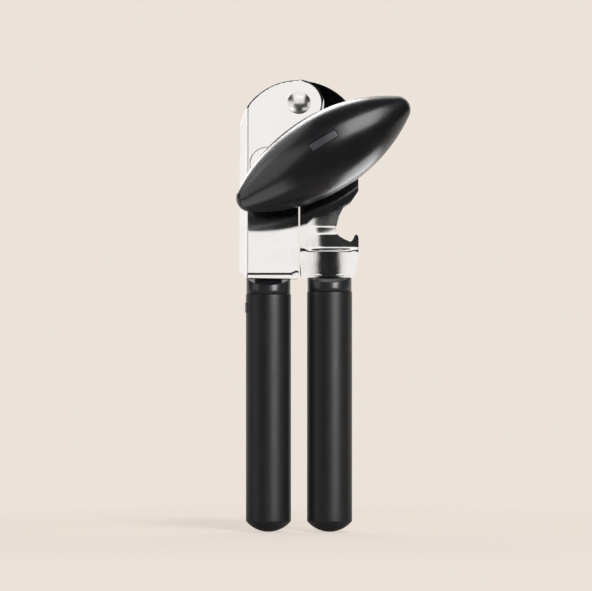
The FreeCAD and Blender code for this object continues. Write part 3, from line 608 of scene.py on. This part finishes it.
class OPENER_OT_grips(bpy.types.Operator):
    """Soft grips: a straight sleeve with a domed end, and the blank pad on the left one"""

    bl_idname = "opener.grips"
    bl_label = "Grips"

    def execute(self, context):
        sizes = context.scene.opener_grip
        steps = context.scene.opener_detail.around
        for side in ("left", "right"):
            node = f"{side}_handle_grip"
            centre, radius, _, top = handle_axis(node)
            cap = sizes.cap_rise
            dome = (radius * radius + cap * cap) / (2 * cap)
            reach = math.asin((radius - sizes.cap_round) / dome)
            arc = np.linspace(0, reach, 24)
            bottom = np.stack([dome * np.sin(arc), dome * (1 - np.cos(arc))], axis=1)
            corners = [(*bottom[-1], 0), (radius, cap, sizes.cap_round), (radius, cap * 2, 0)]
            turn = rounded(corners, 8)
            wall_z = np.linspace(cap * 2, top - 2 * MM, 60)
            wall = np.stack([np.full(60, radius), wall_z], axis=1)
            floor = top - 4 * MM
            rim = sizes.rim_round
            corners = [
                (radius, top - 1.8 * MM, 0), (radius, top, rim),
                (sizes.bore, top, rim / 2), (sizes.bore, floor, 0), (0.0, floor, 0),
            ]
            mouth = rounded(corners, 5)
            profile = np.concatenate([bottom, turn[1:], wall[1:], mouth])
            mesh = lathe(f"{side}_grip_sleeve", profile, centre, UP, steps)
            place_piece(mesh, f"{side}_side", [node], "soft_grip", "Soft Grip")
        self.pad()
        return {"FINISHED"}

    def pad(self):
        """Oval cap that stands proud*(1 - s^10) off the grip at share s of the way to its edge."""
        centre, radius = handle_axis("left_handle_grip")[:2]
        low, high = (np.array(corner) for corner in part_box("left_grip_pad"))
        middle_z = (low[2] + high[2]) / 2
        half_high, half_deep = (high[2] - low[2]) / 2, (high[1] - low[1]) / 2
        proud = centre[0] - low[0] - radius
        flat = half_deep - half_high
        ring = np.linspace(0, 2 * math.pi, 96, endpoint=False)
        share = np.concatenate([np.linspace(0, 0.8, 8), np.linspace(0.84, 1, 10), [1.0]])
        edge_y = np.clip(flat * 8 * np.cos(ring), -flat, flat) + half_high * np.cos(ring)
        edge_z = half_high * np.sin(ring)
        y = share[:, None] * edge_y
        z = share[:, None] * edge_z
        rise = proud * (1 - share**10)[:, None] + np.zeros_like(y)
        rise[-1] = -0.6 * MM
        x = -np.sqrt(np.maximum((radius + rise) ** 2 - y**2, 0))
        points = np.stack([centre[0] + x, centre[1] + y, middle_z + z], axis=-1)
        outline = points[-1:]
        back = outline.mean(axis=1, keepdims=True) + 0 * outline
        mesh = mesh_from_grid("left_grip_blank_pad", np.concatenate([points, back]))
        place_piece(mesh, "left_side", ["left_grip_pad"], "hard_black", "Collar")


class OPENER_OT_collars(bpy.types.Operator):
    """Collars over the grips, with a flat slope cut across the front of the top"""

    bl_idname = "opener.collars"
    bl_label = "Collars"

    def execute(self, context):
        sizes = context.scene.opener_grip
        steps = context.scene.opener_detail.around * 2
        for side in ("left", "right"):
            node = f"{side}_collar"
            centre, radius, low, top = handle_axis(node)
            angle = np.linspace(0, 2 * math.pi, steps, endpoint=False)
            mesh = self.surface(node, sizes, centre, radius, low, top, angle)
            place_piece(mesh, f"{side}_side", [node], "hard_black", "Collar")
        return {"FINISHED"}

    def surface(self, node, sizes, centre, radius, low, top, angle):
        """Side wall and a lid that is the soft minimum of two planes: the flat top, and one that
        falls towards the front; a quarter circle joins them."""
        round_edge, foot_edge = 0.3 * MM, 0.25 * MM
        slope = sizes.bevel_drop / (radius - sizes.bevel_start)

        def lid(reach):
            front = -reach[:, None] * np.sin(angle)
            fall = (front - sizes.bevel_start) * slope
            soft = 0.08 * MM
            return top - soft * np.logaddexp(0, fall / soft)

        turn = np.linspace(0, math.pi / 2, 6)
        edge = radius - round_edge * (1 - np.cos(turn))
        shoulder = lid(np.full(1, radius - round_edge))
        rim = shoulder - round_edge + round_edge * np.sin(turn)[:, None]
        inner = np.linspace(radius - round_edge, 0, 30)[1:]
        wall = np.array([radius - foot_edge, radius, radius])
        wall_z = np.array([low, low + foot_edge, low + 1.5 * MM])[:, None] + 0 * angle
        reach = np.concatenate([[0.0], wall, edge, inner])
        floor = np.full((1, len(angle)), low)
        heights = np.concatenate([floor, wall_z, rim, lid(inner)])
        x = centre[0] + reach[:, None] * np.cos(angle)
        y = centre[1] + reach[:, None] * np.sin(angle)
        points = np.stack([x, y, heights], axis=-1)
        return mesh_from_grid(f"{node}_finished", points, sharp=50.0)


class OPENER_OT_arms(bpy.types.Operator):
    """The two bright stampings with their tangs, and the shim between them"""

    bl_idname = "opener.arms"
    bl_label = "Arms"

    def execute(self, context):
        size = context.scene.opener_head
        self.left(size)
        self.right(size)
        softened_copy("pivot_wear_shim", "right_side", "nylon", "Nylon", 0.1 * MM)
        return {"FINISHED"}

    def finish(self, skin, tang, side, size):
        """Give the skin its thickness and soft edges, and place it and the tang."""
        ride = (f"{side}_side", [f"{side}_arm"], "polished_steel", "Bright Steel")
        piece = place_piece(skin, *ride)
        wall = piece.modifiers.new("Thickness", "SOLIDIFY")
        wall.thickness = size.sheet
        wall.offset = -1.0
        wall.use_even_offset = True
        soften_edges(piece, 0.32 * MM, 55)
        place_piece(tang, *ride)

    def shoulder(self, size):
        """Height where the straight outer edge runs into the round top."""
        rise = math.sqrt(size.head_radius**2 - size.half_width**2)
        return size.head_top - size.head_radius + rise

    def left(self, size):
        """Flat plate set back by the sum of four depths: the flange's slope outside the fold,
        run into the flat by a soft maximum; a coined edge round the lobe, as the square of the
        share of its width; a bell-shaped groove along the foot, which curls up by the seam;
        and a quarter circle along the edge of the round top."""
        pivot, lobe = size.pivot_rise, size.lobe
        half, foot = size.half_width, size.left_foot
        shoulder = self.shoulder(size)
        seam = -0.2 * MM
        low = pivot - math.sqrt(lobe**2 - seam**2)
        fold = size.flange_wide - half
        corners = [
            (seam, foot + 0.8 * MM),
            (seam, low),
            (lobe, pivot, lobe, 1),
            (0.0, size.head_top, lobe, 1),
            (-half, shoulder, size.head_radius, 1),
            (-half, foot + 1.8 * MM + size.flange_wide),
            (fold, foot + 0.3 * MM),
            (-1.4 * MM, foot),
            (-0.6 * MM, foot + 0.2 * MM),
        ]
        loops = [
            fine_path(corners),
            circle_loop(3.1 * MM, 0.0, pivot),
            circle_loop(size.stud + 0.28 * MM, (STUD - PIVOT)[0], size.wheel_rise),
        ]
        slope = size.flange_deep / size.flange_wide
        soft, coin_wide, groove_half, edge = 0.22 * MM, 1.15 * MM, 0.26 * MM, 0.6 * MM

        def form(x, s):
            flange = slope * soft * np.logaddexp(0, (fold - x) / soft)
            coin = np.clip((np.hypot(x, s - pivot) - lobe + coin_wide) / coin_wide, 0, 1) ** 2
            coin *= smooth(x, -0.5 * MM, 3.0 * MM) * smooth(s, low, low + 4 * MM)
            curl = 0.9 * MM * smooth(x, -3.4 * MM, -0.8 * MM)
            groove = np.exp(-(((s - foot - 1.5 * MM - curl) / groove_half) ** 2))
            groove *= smooth(x, fold + 0.1 * MM, fold + 0.6 * MM)
            rim = np.hypot(x, s - size.head_top + size.head_radius) - size.head_radius + edge
            rim = np.clip(np.where((s > shoulder) & (x < 0), rim / edge, 0), 0, 1)
            back = flange + 0.42 * MM * coin + 0.22 * MM * groove
            return on_head(x, back + edge * (1 - np.sqrt(1 - rim**2)), s)

        skin = stamping("left_arm_plate", loops, form)
        self.finish(skin, self.tang("left", size, foot), "left", size)

    # the cap lifter's edge: inward from the outer edge and up the sheet, in millimetres
    LIFTER_EDGE = (
        (0.4, 6.3), (0.0, 11.4), (0.0, 16.2), (0.35, 17.3), (1.0, 17.7), (1.6, 17.2),
        (2.0, 16.0), (2.6, 15.1), (3.4, 14.7), (5.8, 15.8), (7.6, 16.9), (8.6, 17.9),
        (9.0, 19.2), (9.0, 20.6), (7.8, 25.4), (6.2, 28.8), (3.4, 30.7), (0.0, 36.0),
    )
    # the two dished zones: heights up the sheet, depths there, and the stretch across the sheet
    # over which they deepen, in millimetres
    DISHES = (
        ((17.9, 21.0, 29.6), (0.0, 0.43, 0.0), (3.6, 8.6)),
        ((11.3, 12.0, 17.9), (0.0, 0.42, 0.0), (6.4, 10.6)),
    )

    def right(self, size):
        """Plate with two dished zones and a step back behind the lobe. Below the crease it turns
        upright as a neck, whose depth across is a hyperbola: the root of (slope*x)^2 + core^2."""
        half, foot, crease = size.half_width, size.neck_foot, size.crease
        pivot, lobe = size.pivot_rise, size.lobe
        seam, joggle_start = 0.4 * MM, 61 * MM
        corners = [
            (seam, foot + 1.8 * MM),
            (seam + 0.4 * MM, foot + 0.5 * MM),
            (seam + 1.4 * MM, foot),
            (half - 1.7 * MM, foot),
            *((half - inward * MM, rise * MM) for inward, rise in self.LIFTER_EDGE),
            (half, self.shoulder(size)),
            (0.0, size.head_top, size.head_radius, 1),
            (-lobe, pivot, lobe, 1),
            (0.0, pivot - lobe, lobe, 1),
            (seam, pivot - lobe),
        ]
        loops = [
            fine_path(corners),
            circle_loop(3.15 * MM, 0.0, pivot),
            circle_loop(4.6 * MM, (HUB - PIVOT)[0], size.wheel_rise),
        ]

        def form(x, s):
            back = size.joggle * np.clip((s - joggle_start) / size.joggle, 0, 1)
            for heights, depths, (outer, inner) in self.DISHES:
                depth = np.interp(s, np.array(heights) * MM, np.array(depths) * MM)
                back = back + smooth(x, outer * MM, inner * MM) * depth
            across = size.neck_slope * (x - size.neck_middle)
            round_off = np.sqrt(across**2 + size.neck_core**2) - size.neck_core
            grown = np.clip((crease - s) / (5 * MM), 0, 1)
            round_off = round_off - size.neck_bulge * (0.85 + 0.15 * grown)
            neck = 1 - smooth(s, crease - 0.9 * MM, crease + 0.5 * MM)
            back = back * (1 - neck) + neck * round_off
            upright = np.minimum(s - crease, 0)
            return on_head(x, back, np.maximum(s, crease)) + upright[:, None] * UP

        skin = stamping("right_arm_plate", loops, form)
        self.finish(skin, self.tang("right", size, foot), "right", size)

    def tang(self, side, size, foot):
        """Flat bar from inside the plate's foot back over the collar and down the handle."""
        centre, _, _, top = handle_axis(f"{side}_collar")
        deep = size.sheet / 2
        start = foot + 1.2 * MM
        if side == "left":
            inside = self.spot(deep + 0.4 * MM, start)
        else:
            inside = self.spot(deep, size.crease)
            inside += np.array([0.2 * MM - size.neck_bulge, start - size.crease])
        shelf = top + deep + 0.05 * MM
        corners = [
            (*inside, 0),
            (inside[0] + 0.1 * MM, shelf, deep * 1.1),
            (centre[1], shelf, deep * 1.1),
            (centre[1], size.tang_low, 0),
        ]
        path = rounded(corners, 6)
        return strip(f"{side}_arm_tang", path, size.tang_width, size.sheet, centre[0])

    def spot(self, back, s):
        """Place in y and z of the point at that depth and height on the head."""
        return on_head(np.zeros(1), np.array([back]), np.array([s]))[0, 1:]


class OPENER_OT_pivot(bpy.types.Operator):
    """Domed rivet and its washer"""

    bl_idname = "opener.pivot"
    bl_label = "Pivot"

    # under the dome: radius, height in front of the sheet and rounding, in millimetres
    UNDER = (
        (4.55, 0.25, 0), (4.7, 0.15, 0.08), (4.7, 0.0, 0), (3.0, 0.0, 0),
        (3.0, -4.7, 0), (4.7, -4.72, 0.2), (4.1, -5.6, 0.5), (0.0, -5.88, 0),
    )

    def execute(self, context):
        """Lathe profile: the dome is 1 mm * (1 - (r/edge)^2.2) high, over a straight shank."""
        steps = context.scene.opener_detail.around
        under = rounded(np.array(self.UNDER) * MM)
        edge, foot = under[0]
        last = 1.45
        radius = edge * np.sin(np.linspace(0, 1, 20) * last) / math.sin(last)
        dome = np.stack([radius, foot + 1.0 * MM * (1 - (radius / edge) ** 2.2)], axis=1)
        profile = np.concatenate([dome, under[1:]])
        mesh = lathe("pivot_rivet_finished", profile, PIVOT, FRONT, steps)
        place_piece(mesh, "left_side", ["pivot_rivet"], "rivet_steel", "Rivet Steel")
        softened_copy("pivot_back_washer", "left_side", "rivet_steel", "Rivet Steel", 0.12 * MM)
        return {"FINISHED"}


class OPENER_OT_wheels(bpy.types.Operator):
    """Cutter, feed wheel, their stud, shaft, bushings, washers and screws"""

    bl_idname = "opener.wheels"
    bl_label = "Wheels"

    PIECES = (
        ("cutter_screw", "left_side", "rivet_steel", "Rivet Steel", 0.12),
        ("cutter_spring_washer", "left_side", "rivet_steel", "Rivet Steel", 0.1),
        ("cutter_wheel", "cutter", "wheel_steel", "Ground Steel", 0.0),
        ("cutter_bushing", "cutter", "bushing_brass", "Brass", 0.1),
        ("feed_wheel", "knob_drive", "wheel_steel", "Ground Steel", 0.1),
        ("feed_wheel_washer", "knob_drive", "rivet_steel", "Rivet Steel", 0.1),
        ("drive_shaft", "knob_drive", "rivet_steel", "Rivet Steel", 0.12),
        ("drive_bushing", "right_side", "bushing_brass", "Brass", 0.1),
        ("drive_thrust_washer", "right_side", "nylon", "Nylon", 0.1),
    )

    def execute(self, context):
        for node, body, slot, finish, bevel in self.PIECES:
            softened_copy(node, body, slot, finish, bevel * MM)
        self.stud(context.scene.opener_head.stud, context.scene.opener_detail.around)
        return {"FINISHED"}

    def stud(self, radius, steps):
        """Disc flush with the arm, flange behind it with one side cut flat, boss and journal; the
        corners are radius, height in front of the arm and rounding, in millimetres."""
        disc, flange, boss, journal, flat = radius / MM, 8.5, 5.2, 3.2, 7.08
        corners = [
            (0.0, 0.0, 0), (disc, 0.0, 0.15), (disc, -1.5, 0),
            (flange, -1.5, 0.1), (flange, -2.5, 0.1), (boss, -2.5, 0),
            (boss, -5.8, 0.15), (journal, -5.8, 0), (journal, -8.1, 0.15), (0.0, -8.1, 0),
        ]
        profile = rounded(np.array(corners) * MM)
        mesh = lathe("cutter_stud_finished", profile, STUD, FRONT, steps)
        spots = np.array([vertex.co for vertex in mesh.vertices])
        spots[:, 0] = np.maximum(spots[:, 0], STUD[0] - flat * MM)
        mesh.vertices.foreach_set("co", spots.ravel())
        place_piece(mesh, "left_side", ["cutter_stud"], "rivet_steel", "Bright Steel")


POCKET = 1.2 * MM  # depth of the pocket that holds the plug
WINDOW_GAP = 0.05 * MM  # half of the room that the knob's window has beyond the plug's size
FLAT_SIDE = np.linspace(math.pi, 2 * math.pi, 24)[1:-1]  # angles across the parting face


class OPENER_OT_knob(bpy.types.Operator):
    """Domed cover with its inlaid plug, and the base below the parting line"""

    bl_idname = "opener.knob"
    bl_label = "Knob"

    def execute(self, context):
        sizes = context.scene.opener_knob
        along = math.cos(sizes.turn) * ACROSS + math.sin(sizes.turn) * CLIMB
        aside = np.cross(FRONT, along)
        centre = HUB + FRONT * sizes.axis_height
        steps = context.scene.opener_detail.along
        for name, surface in (("knob_cover", self.cover), ("knob_base", self.base)):
            x, across, height = surface(sizes, steps)
            points = centre + x[..., None] * along + across[..., None] * aside
            points = points + height[..., None] * FRONT
            mesh = mesh_from_grid(f"{name}_finished", points, sharp=40.0)
            if name == "knob_cover":
                self.open_window(mesh, sizes, centre, along, aside)
            place_piece(mesh, "knob_drive", [name], "knob_plastic", "Knob")
        self.plug(sizes, centre, along, aside)
        return {"FINISHED"}

    def lengths(self, sizes, steps):
        """Stations along the knob, x = half length * sin, with more at the plug's two ends."""
        share = np.sin(np.linspace(-math.pi / 2, math.pi / 2, steps))
        half = sizes.plug_long / 2 + WINDOW_GAP
        near = np.array([-0.3, -0.15, -0.05, 0.0, 0.12]) * MM
        return np.unique(np.concatenate([share * sizes.half_length, half - near, near - half]))

    def half_round(self, sizes, x, angle, depth):
        """Half round about the x axis, (w cos a, w sin a) at radius w, drawn in by a bell-shaped
        lip at the parting line; its height goes through depth(height) first."""
        width = knob_radius(x, sizes)[:, None]
        height = depth(np.maximum(np.sin(angle), 0) * width)
        lip = 0.22 * MM * np.exp(-((height / (0.3 * MM)) ** 2)) * np.minimum(1, width / MM)
        across = np.cos(angle) * np.maximum(width - lip, 0)
        return np.broadcast_to(x[:, None], height.shape), across, height

    def cover(self, sizes, steps):
        """Half round above the parting line, closed flat underneath."""
        half = math.asin((sizes.plug_wide / 2 + WINDOW_GAP) / sizes.half_width)
        near = np.array([-0.018, -0.009, -0.003, 0.0, 0.0075])
        edge = np.linspace(0, 0.12, 9)
        top = np.linspace(0.15, math.pi - 0.15, 90)
        window = [math.pi / 2 + half - near, math.pi / 2 - half + near]
        front = np.unique(np.concatenate([edge, top, math.pi - edge[::-1], *window]))
        angle = np.concatenate([front, FLAT_SIDE])
        return self.half_round(sizes, self.lengths(sizes, steps), angle, lambda height: height)

    def base(self, sizes, steps):
        """Half round below the parting line, cut off flat at the underside by a soft minimum."""
        depth = sizes.axis_height - sizes.back_height
        soft = 0.35 * MM

        def cut(fall):
            start = depth - soft * np.logaddexp(0, depth / soft)
            flat = depth - soft * np.logaddexp(0, (depth - fall) / soft)
            return np.where(fall > 0, np.maximum(flat - start, 0), 0)

        angle = np.concatenate([np.linspace(0, math.pi, 121), FLAT_SIDE])
        x, across, fall = self.half_round(sizes, self.lengths(sizes, steps), angle, cut)
        return x, across, -fall

    def open_window(self, mesh, sizes, centre, along, aside):
        """Drop the faces of the plug's window into a pocket with upright walls."""
        shape = bmesh.new()
        shape.from_mesh(mesh)
        half_x = sizes.plug_long / 2 + WINDOW_GAP
        half_y = sizes.plug_wide / 2 + 0.08 * MM
        inside = []
        for face in shape.faces:
            spot = np.array(face.calc_center_median()) - centre
            x, y, height = spot @ along, spot @ aside, spot @ FRONT
            if abs(x) < half_x and abs(y) < half_y and height > 10 * MM:
                inside.append(face)
        sunk = bmesh.ops.extrude_face_region(shape, geom=inside)
        moved = [item for item in sunk["geom"] if isinstance(item, bmesh.types.BMVert)]
        bmesh.ops.translate(shape, verts=moved, vec=(-FRONT * POCKET).tolist())
        bmesh.ops.delete(shape, geom=inside, context="FACES_ONLY")
        bmesh.ops.recalc_face_normals(shape, faces=shape.faces)
        shape.to_mesh(mesh)
        shape.free()
        mesh.shade_smooth()
        mesh.set_sharp_from_angle(angle=math.radians(40))

    def plug(self, sizes, centre, along, aside):
        """Inlay a little below the dome: height sqrt(w^2 - y^2), less a fall that grows as
        exp(-distance to the edge); its walls go straight down to the pocket's floor."""
        gap, edge_fall, below = 0.2 * MM, 0.1 * MM, 0.14 * MM
        half_x, half_y = sizes.plug_long / 2 - gap, sizes.plug_wide / 2 - gap
        edge = 1 - np.array([0, 0.02, 0.06, 0.14])
        u = np.concatenate([-edge, np.linspace(-0.8, 0.8, 30), edge[::-1]])
        x, y = np.meshgrid(u * half_x, u * half_y, indexing="ij")
        inner = np.minimum(half_x - np.abs(x), half_y - np.abs(y))
        fall = edge_fall * np.exp(-inner / edge_fall)
        radius = knob_radius(x, sizes, below)
        height = np.sqrt(radius**2 - y**2) - fall
        floor = centre + x[..., None] * along + y[..., None] * aside
        top = floor + height[..., None] * FRONT
        floor = floor + (sizes.half_width - POCKET) * FRONT
        upper = mesh_from_grid("upper", top, wrap_columns=False)
        loop = [top[:, 0], top[-1, 1:], top[-2::-1, -1], top[0, -2:0:-1]]
        base = [floor[:, 0], floor[-1, 1:], floor[-2::-1, -1], floor[0, -2:0:-1]]
        rim = np.stack([np.concatenate(loop), np.concatenate(base)])
        middle = np.broadcast_to(rim[1].mean(axis=0), rim[1].shape)
        skirt = mesh_from_grid("skirt", np.concatenate([rim, middle[None]]))
        shape = bmesh.new()
        shape.from_mesh(upper)
        shape.from_mesh(skirt)
        mesh = bpy.data.meshes.new("knob_plug_finished")
        shape.to_mesh(mesh)
        shape.free()
        clean(mesh, 40.0)
        place_piece(mesh, "knob_drive", ["knob_plug"], "knob_plastic", "Plug")


class OPENER_OT_hidden(bpy.types.Operator):
    """Finishes for the pieces inside the handles and the knob"""

    bl_idname = "opener.hidden"
    bl_label = "Inner pieces"

    FINISHES = {
        "left_handle_core": "Collar",
        "right_handle_core": "Collar",
        "left_tang_pin": "Rivet Steel",
        "right_tang_pin": "Rivet Steel",
        "knob_screw": "Rivet Steel",
    }

    def execute(self, context):
        for node, finish in self.FINISHES.items():
            mesh = frame["nodes"][node].data
            mesh.materials.clear()
            mesh.materials.append(materials()[finish])
        return {"FINISHED"}


# ------------------------------------------------------------------- stage


class OPENER_OT_stage(bpy.types.Operator):
    """Pale floor that sweeps up into a backdrop, soft lights and the camera"""

    bl_idname = "opener.stage"
    bl_label = "Stage"

    def execute(self, context):
        paper = context.scene.opener_finishes.paper
        self.backdrop(paper)
        self.world(context, paper)
        self.lights()
        self.camera(context)
        return {"FINISHED"}

    def backdrop(self, paper):
        """Floor, quarter circle and wall: one profile in y and z carried across x."""
        turn = np.linspace(0, math.pi / 2, 24)
        sweep, far, wide = 0.8, 3.0, 4.0
        y = np.concatenate([[-wide, 0.0], 2.2 + sweep * np.sin(turn), [far]])
        z = np.concatenate([[0.0, 0.0], sweep - sweep * np.cos(turn), [wide]])
        x = np.linspace(-wide, wide, 3)
        points = np.stack(np.broadcast_arrays(x, y[:, None], z[:, None]), axis=-1)
        mesh = mesh_from_grid("backdrop", points, wrap_columns=False)
        material, tree, shader, vector = new_material("Backdrop Paper")
        shader.inputs["Roughness"].default_value = 0.9
        shader.inputs["Specular IOR Level"].default_value = 0.0
        reach = add_node(tree, "ShaderNodeVectorMath", operation="LENGTH")
        span = dict(from_min=0.3, from_max=0.12)
        near = add_node(tree, "ShaderNodeMapRange", interpolation_type="SMOOTHSTEP", **span)
        tree.links.new(vector, reach.inputs[0])
        wire(reach, "Value", near, "Value")
        # far away the paper only glows, and near the object it also takes light and shadow
        for socket, far_share, near_share in (("Base Color", 0, 0.8), ("Emission Color", 1, 0.72)):
            tones = scaled(paper, far_share), scaled(paper, near_share)
            vary_colour(tree, near.outputs["Result"], *tones, shader.inputs[socket])
        self.flag_the_front(tree, shader, vector)
        mesh.materials.append(material)
        add_object("backdrop", mesh)

    def flag_the_front(self, tree, shader, vector):
        """Seen in the steel and the plastic, the floor before the object is dark as if flagged."""
        path = tree.nodes.new("ShaderNodeLightPath")
        split = tree.nodes.new("ShaderNodeSeparateXYZ")
        tree.links.new(vector, split.inputs[0])
        span = dict(from_min=-0.08, from_max=0.3, to_min=0.1, to_max=1.1)
        behind = add_node(tree, "ShaderNodeMapRange", interpolation_type="SMOOTHSTEP", **span)
        wire(split, "Y", behind, "Value")
        level = add_node(tree, "ShaderNodeMix", data_type="FLOAT", b=1.0)
        wire(path, "Is Camera Ray", level, "Factor")
        wire(behind, "Result", level, "A")
        wire(level, "Result", shader, "Emission Strength")

    # name, turn from the front to the right and rise in degrees, distance, width, height,
    # brightness, families of pieces that it lights
    LAMPS = (
        ("Front softbox", 0.0, 48.7, 1.6, 1.2, 0.81, 0.96, "steel"),
        ("Plate softbox", 0.0, 47.0, 1.6, 0.6, 0.86, 0.95, "plate"),
        ("Right panel", 78.0, 12.0, 1.5, 2.0, 1.4, 0.9, "steel plate"),
        ("Right card", 34.0, 4.0, 1.5, 1.0, 0.5, 0.95, "steel"),
        ("Left softbox", -56.0, 14.0, 1.5, 1.7, 1.5, 0.9, "steel plate"),
        ("Left card", -31.5, 4.0, 1.5, 0.88, 0.5, 0.97, "steel"),
        ("Left panel", -108.0, 10.0, 1.4, 1.2, 1.4, 0.95, "steel plate"),
        ("Ceiling panel", 0.0, 84.0, 1.5, 1.2, 1.3, 1.0, "steel"),
        ("Back softbox", 165.0, 45.0, 1.6, 0.9, 0.7, 1.1, "steel grip knob"),
        ("Highlight softbox", 40.0, 45.0, 1.4, 0.8, 0.95, 6.9, "knob"),
        ("Sheen softbox", -56.0, 18.0, 1.5, 2.2, 1.7, 1.25, "knob"),
        ("Floor card", -47.0, -44.0, 0.135, 0.22, 0.2, 1.5, "knob"),
        ("Rim softbox", -160.0, 31.0, 1.5, 0.75, 1.0, 7.0, "knob"),
        ("Upper sheen", -104.0, 44.0, 1.4, 1.1, 1.0, 1.2, "knob"),
        ("Low card", 118.0, -36.0, 0.165, 0.15, 0.13, 5.3, "knob"),
        ("Handle strip", 30.0, 10.0, 0.7, 0.26, 0.3, 17.0, "grip"),
        ("Handle fill", -70.0, 10.0, 1.2, 0.8, 0.9, 1.3, "grip nylon"),
        ("Shadow softbox", 25.0, 62.0, 1.3, 0.28, 0.28, 14.0, "stage"),
    )
    FAMILIES = {
        "plate": ("left_arm_plate",),
        "steel": ("Bright Steel", "Ground Steel", "Rivet Steel", "Brass"),
        "grip": ("Soft Grip", "Collar"),
        "knob": ("Knob", "Plug"),
        "nylon": ("Nylon",),
        "stage": ("Backdrop Paper",),
    }

    def lit_pieces(self):
        """One collection for each family: a piece joins the first that has its name or finish."""
        groups = {name: bpy.data.collections.new(f"Lit {name}") for name in self.FAMILIES}
        for thing in bpy.data.objects:
            finish = thing.active_material.name if thing.active_material else ""
            for name, members in self.FAMILIES.items():
                if thing.name in members or finish in members:
                    groups[name].objects.link(thing)
                    break
        return groups

    def world(self, context, paper):
        """The backdrop's tone as the camera sees it, and nearly dark for all other rays."""
        world = bpy.data.worlds.new("Studio")
        world.use_nodes = True
        tree = world.node_tree
        seen = tree.nodes["Background"]
        seen.inputs["Color"].default_value = (*paper, 1.0)
        level = 0.014
        dim = add_node(tree, "ShaderNodeBackground", color=(level, level, level, 1.0))
        path = tree.nodes.new("ShaderNodeLightPath")
        choose = tree.nodes.new("ShaderNodeMixShader")
        wire(path, "Is Camera Ray", choose, 0)
        wire(dim, 0, choose, 1)
        wire(seen, 0, choose, 2)
        wire(choose, 0, tree.nodes["World Output"], "Surface")
        context.scene.world = world

    def lights(self):
        """Each lamp stands at its turn and rise round the target and lights its families."""
        target = np.array([0.0, 0.0, 0.11])
        warm, cool = (1.0, 0.97, 0.94), (0.98, 0.98, 1.0)
        groups = self.lit_pieces()
        for name, turn, rise, distance, wide, high, bright, families in self.LAMPS:
            turn, rise = math.radians(turn), math.radians(rise)
            level = math.cos(rise)
            way = np.array([math.sin(turn) * level, -math.cos(turn) * level, math.sin(rise)])
            families = families.split()
            lamp = bpy.data.lights.new(name, "AREA")
            lamp.shape = "RECTANGLE"
            lamp.size, lamp.size_y = wide, high
            lamp.energy = bright * math.pi * wide * high
            lamp.color = warm if "steel" in families or "plate" in families else cool
            rig = add_object(name, lamp)
            rig.location = target + way * distance
            rig.rotation_mode = "QUATERNION"
            rig.rotation_quaternion = Vector((-way).tolist()).to_track_quat("-Z", "Y")
            rig.visible_camera = False
            chosen = bpy.data.collections.new(f"{name} lights")
            for family in families:
                chosen.children.link(groups[family])
            rig.light_linking.receiver_collection = chosen

    def camera(self, context):
        """Level view along +Y; the frame is 592 steps of 0.4 mm wide at the part's place."""
        distance, width = 2.0, 592 * 0.4 * MM
        lens = bpy.data.cameras.new("Camera")
        lens.sensor_width = 36.0
        lens.lens = lens.sensor_width * distance / width
        lens.clip_start, lens.clip_end = 0.05, 20.0
        view = add_object("Camera", lens)
        view.location = (-11.0 * MM, -distance, 94.4 * MM)
        view.rotation_euler = (math.pi / 2, 0.0, 0.0)
        context.scene.camera = view
        context.scene.view_settings.view_transform = "Standard"


class OPENER_PT_panel(bpy.types.Panel):
    """Lists the opener's pieces"""

    bl_label = "Can Opener"
    bl_idname = "OPENER_PT_panel"
    bl_space_type = "VIEW_3D"
    bl_region_type = "UI"
    bl_category = "Opener"

    def draw(self, context):
        for operator in OPERATORS:
            self.layout.operator(operator.bl_idname)
        for name in SETTINGS:
            group = getattr(context.scene, name)
            box = self.layout.box()
            for field in group.__annotations__:
                box.prop(group, field)


SETTINGS = {
    "opener_head": HeadSizes,
    "opener_grip": GripSizes,
    "opener_knob": KnobSizes,
    "opener_finishes": Finishes,
    "opener_detail": Detail,
}
OPERATORS = (
    OPENER_OT_grips,
    OPENER_OT_collars,
    OPENER_OT_arms,
    OPENER_OT_pivot,
    OPENER_OT_wheels,
    OPENER_OT_knob,
    OPENER_OT_hidden,
    OPENER_OT_stage,
)
CLASSES = (*SETTINGS.values(), *OPERATORS, OPENER_PT_panel)


def register():
    for item in CLASSES:
        bpy.utils.register_class(item)
    for name, group in SETTINGS.items():
        setattr(bpy.types.Scene, name, PointerProperty(type=group))


def unregister():
    for name in SETTINGS:
        delattr(bpy.types.Scene, name)
    for item in reversed(CLASSES):
        bpy.utils.unregister_class(item)


def main():
    register()
    bpy.ops.opener.grips()
    bpy.ops.opener.collars()
    bpy.ops.opener.arms()
    bpy.ops.opener.pivot()
    bpy.ops.opener.wheels()
    bpy.ops.opener.knob()
    bpy.ops.opener.hidden()
    bpy.ops.opener.stage()


if __name__ == "__main__":
    main()
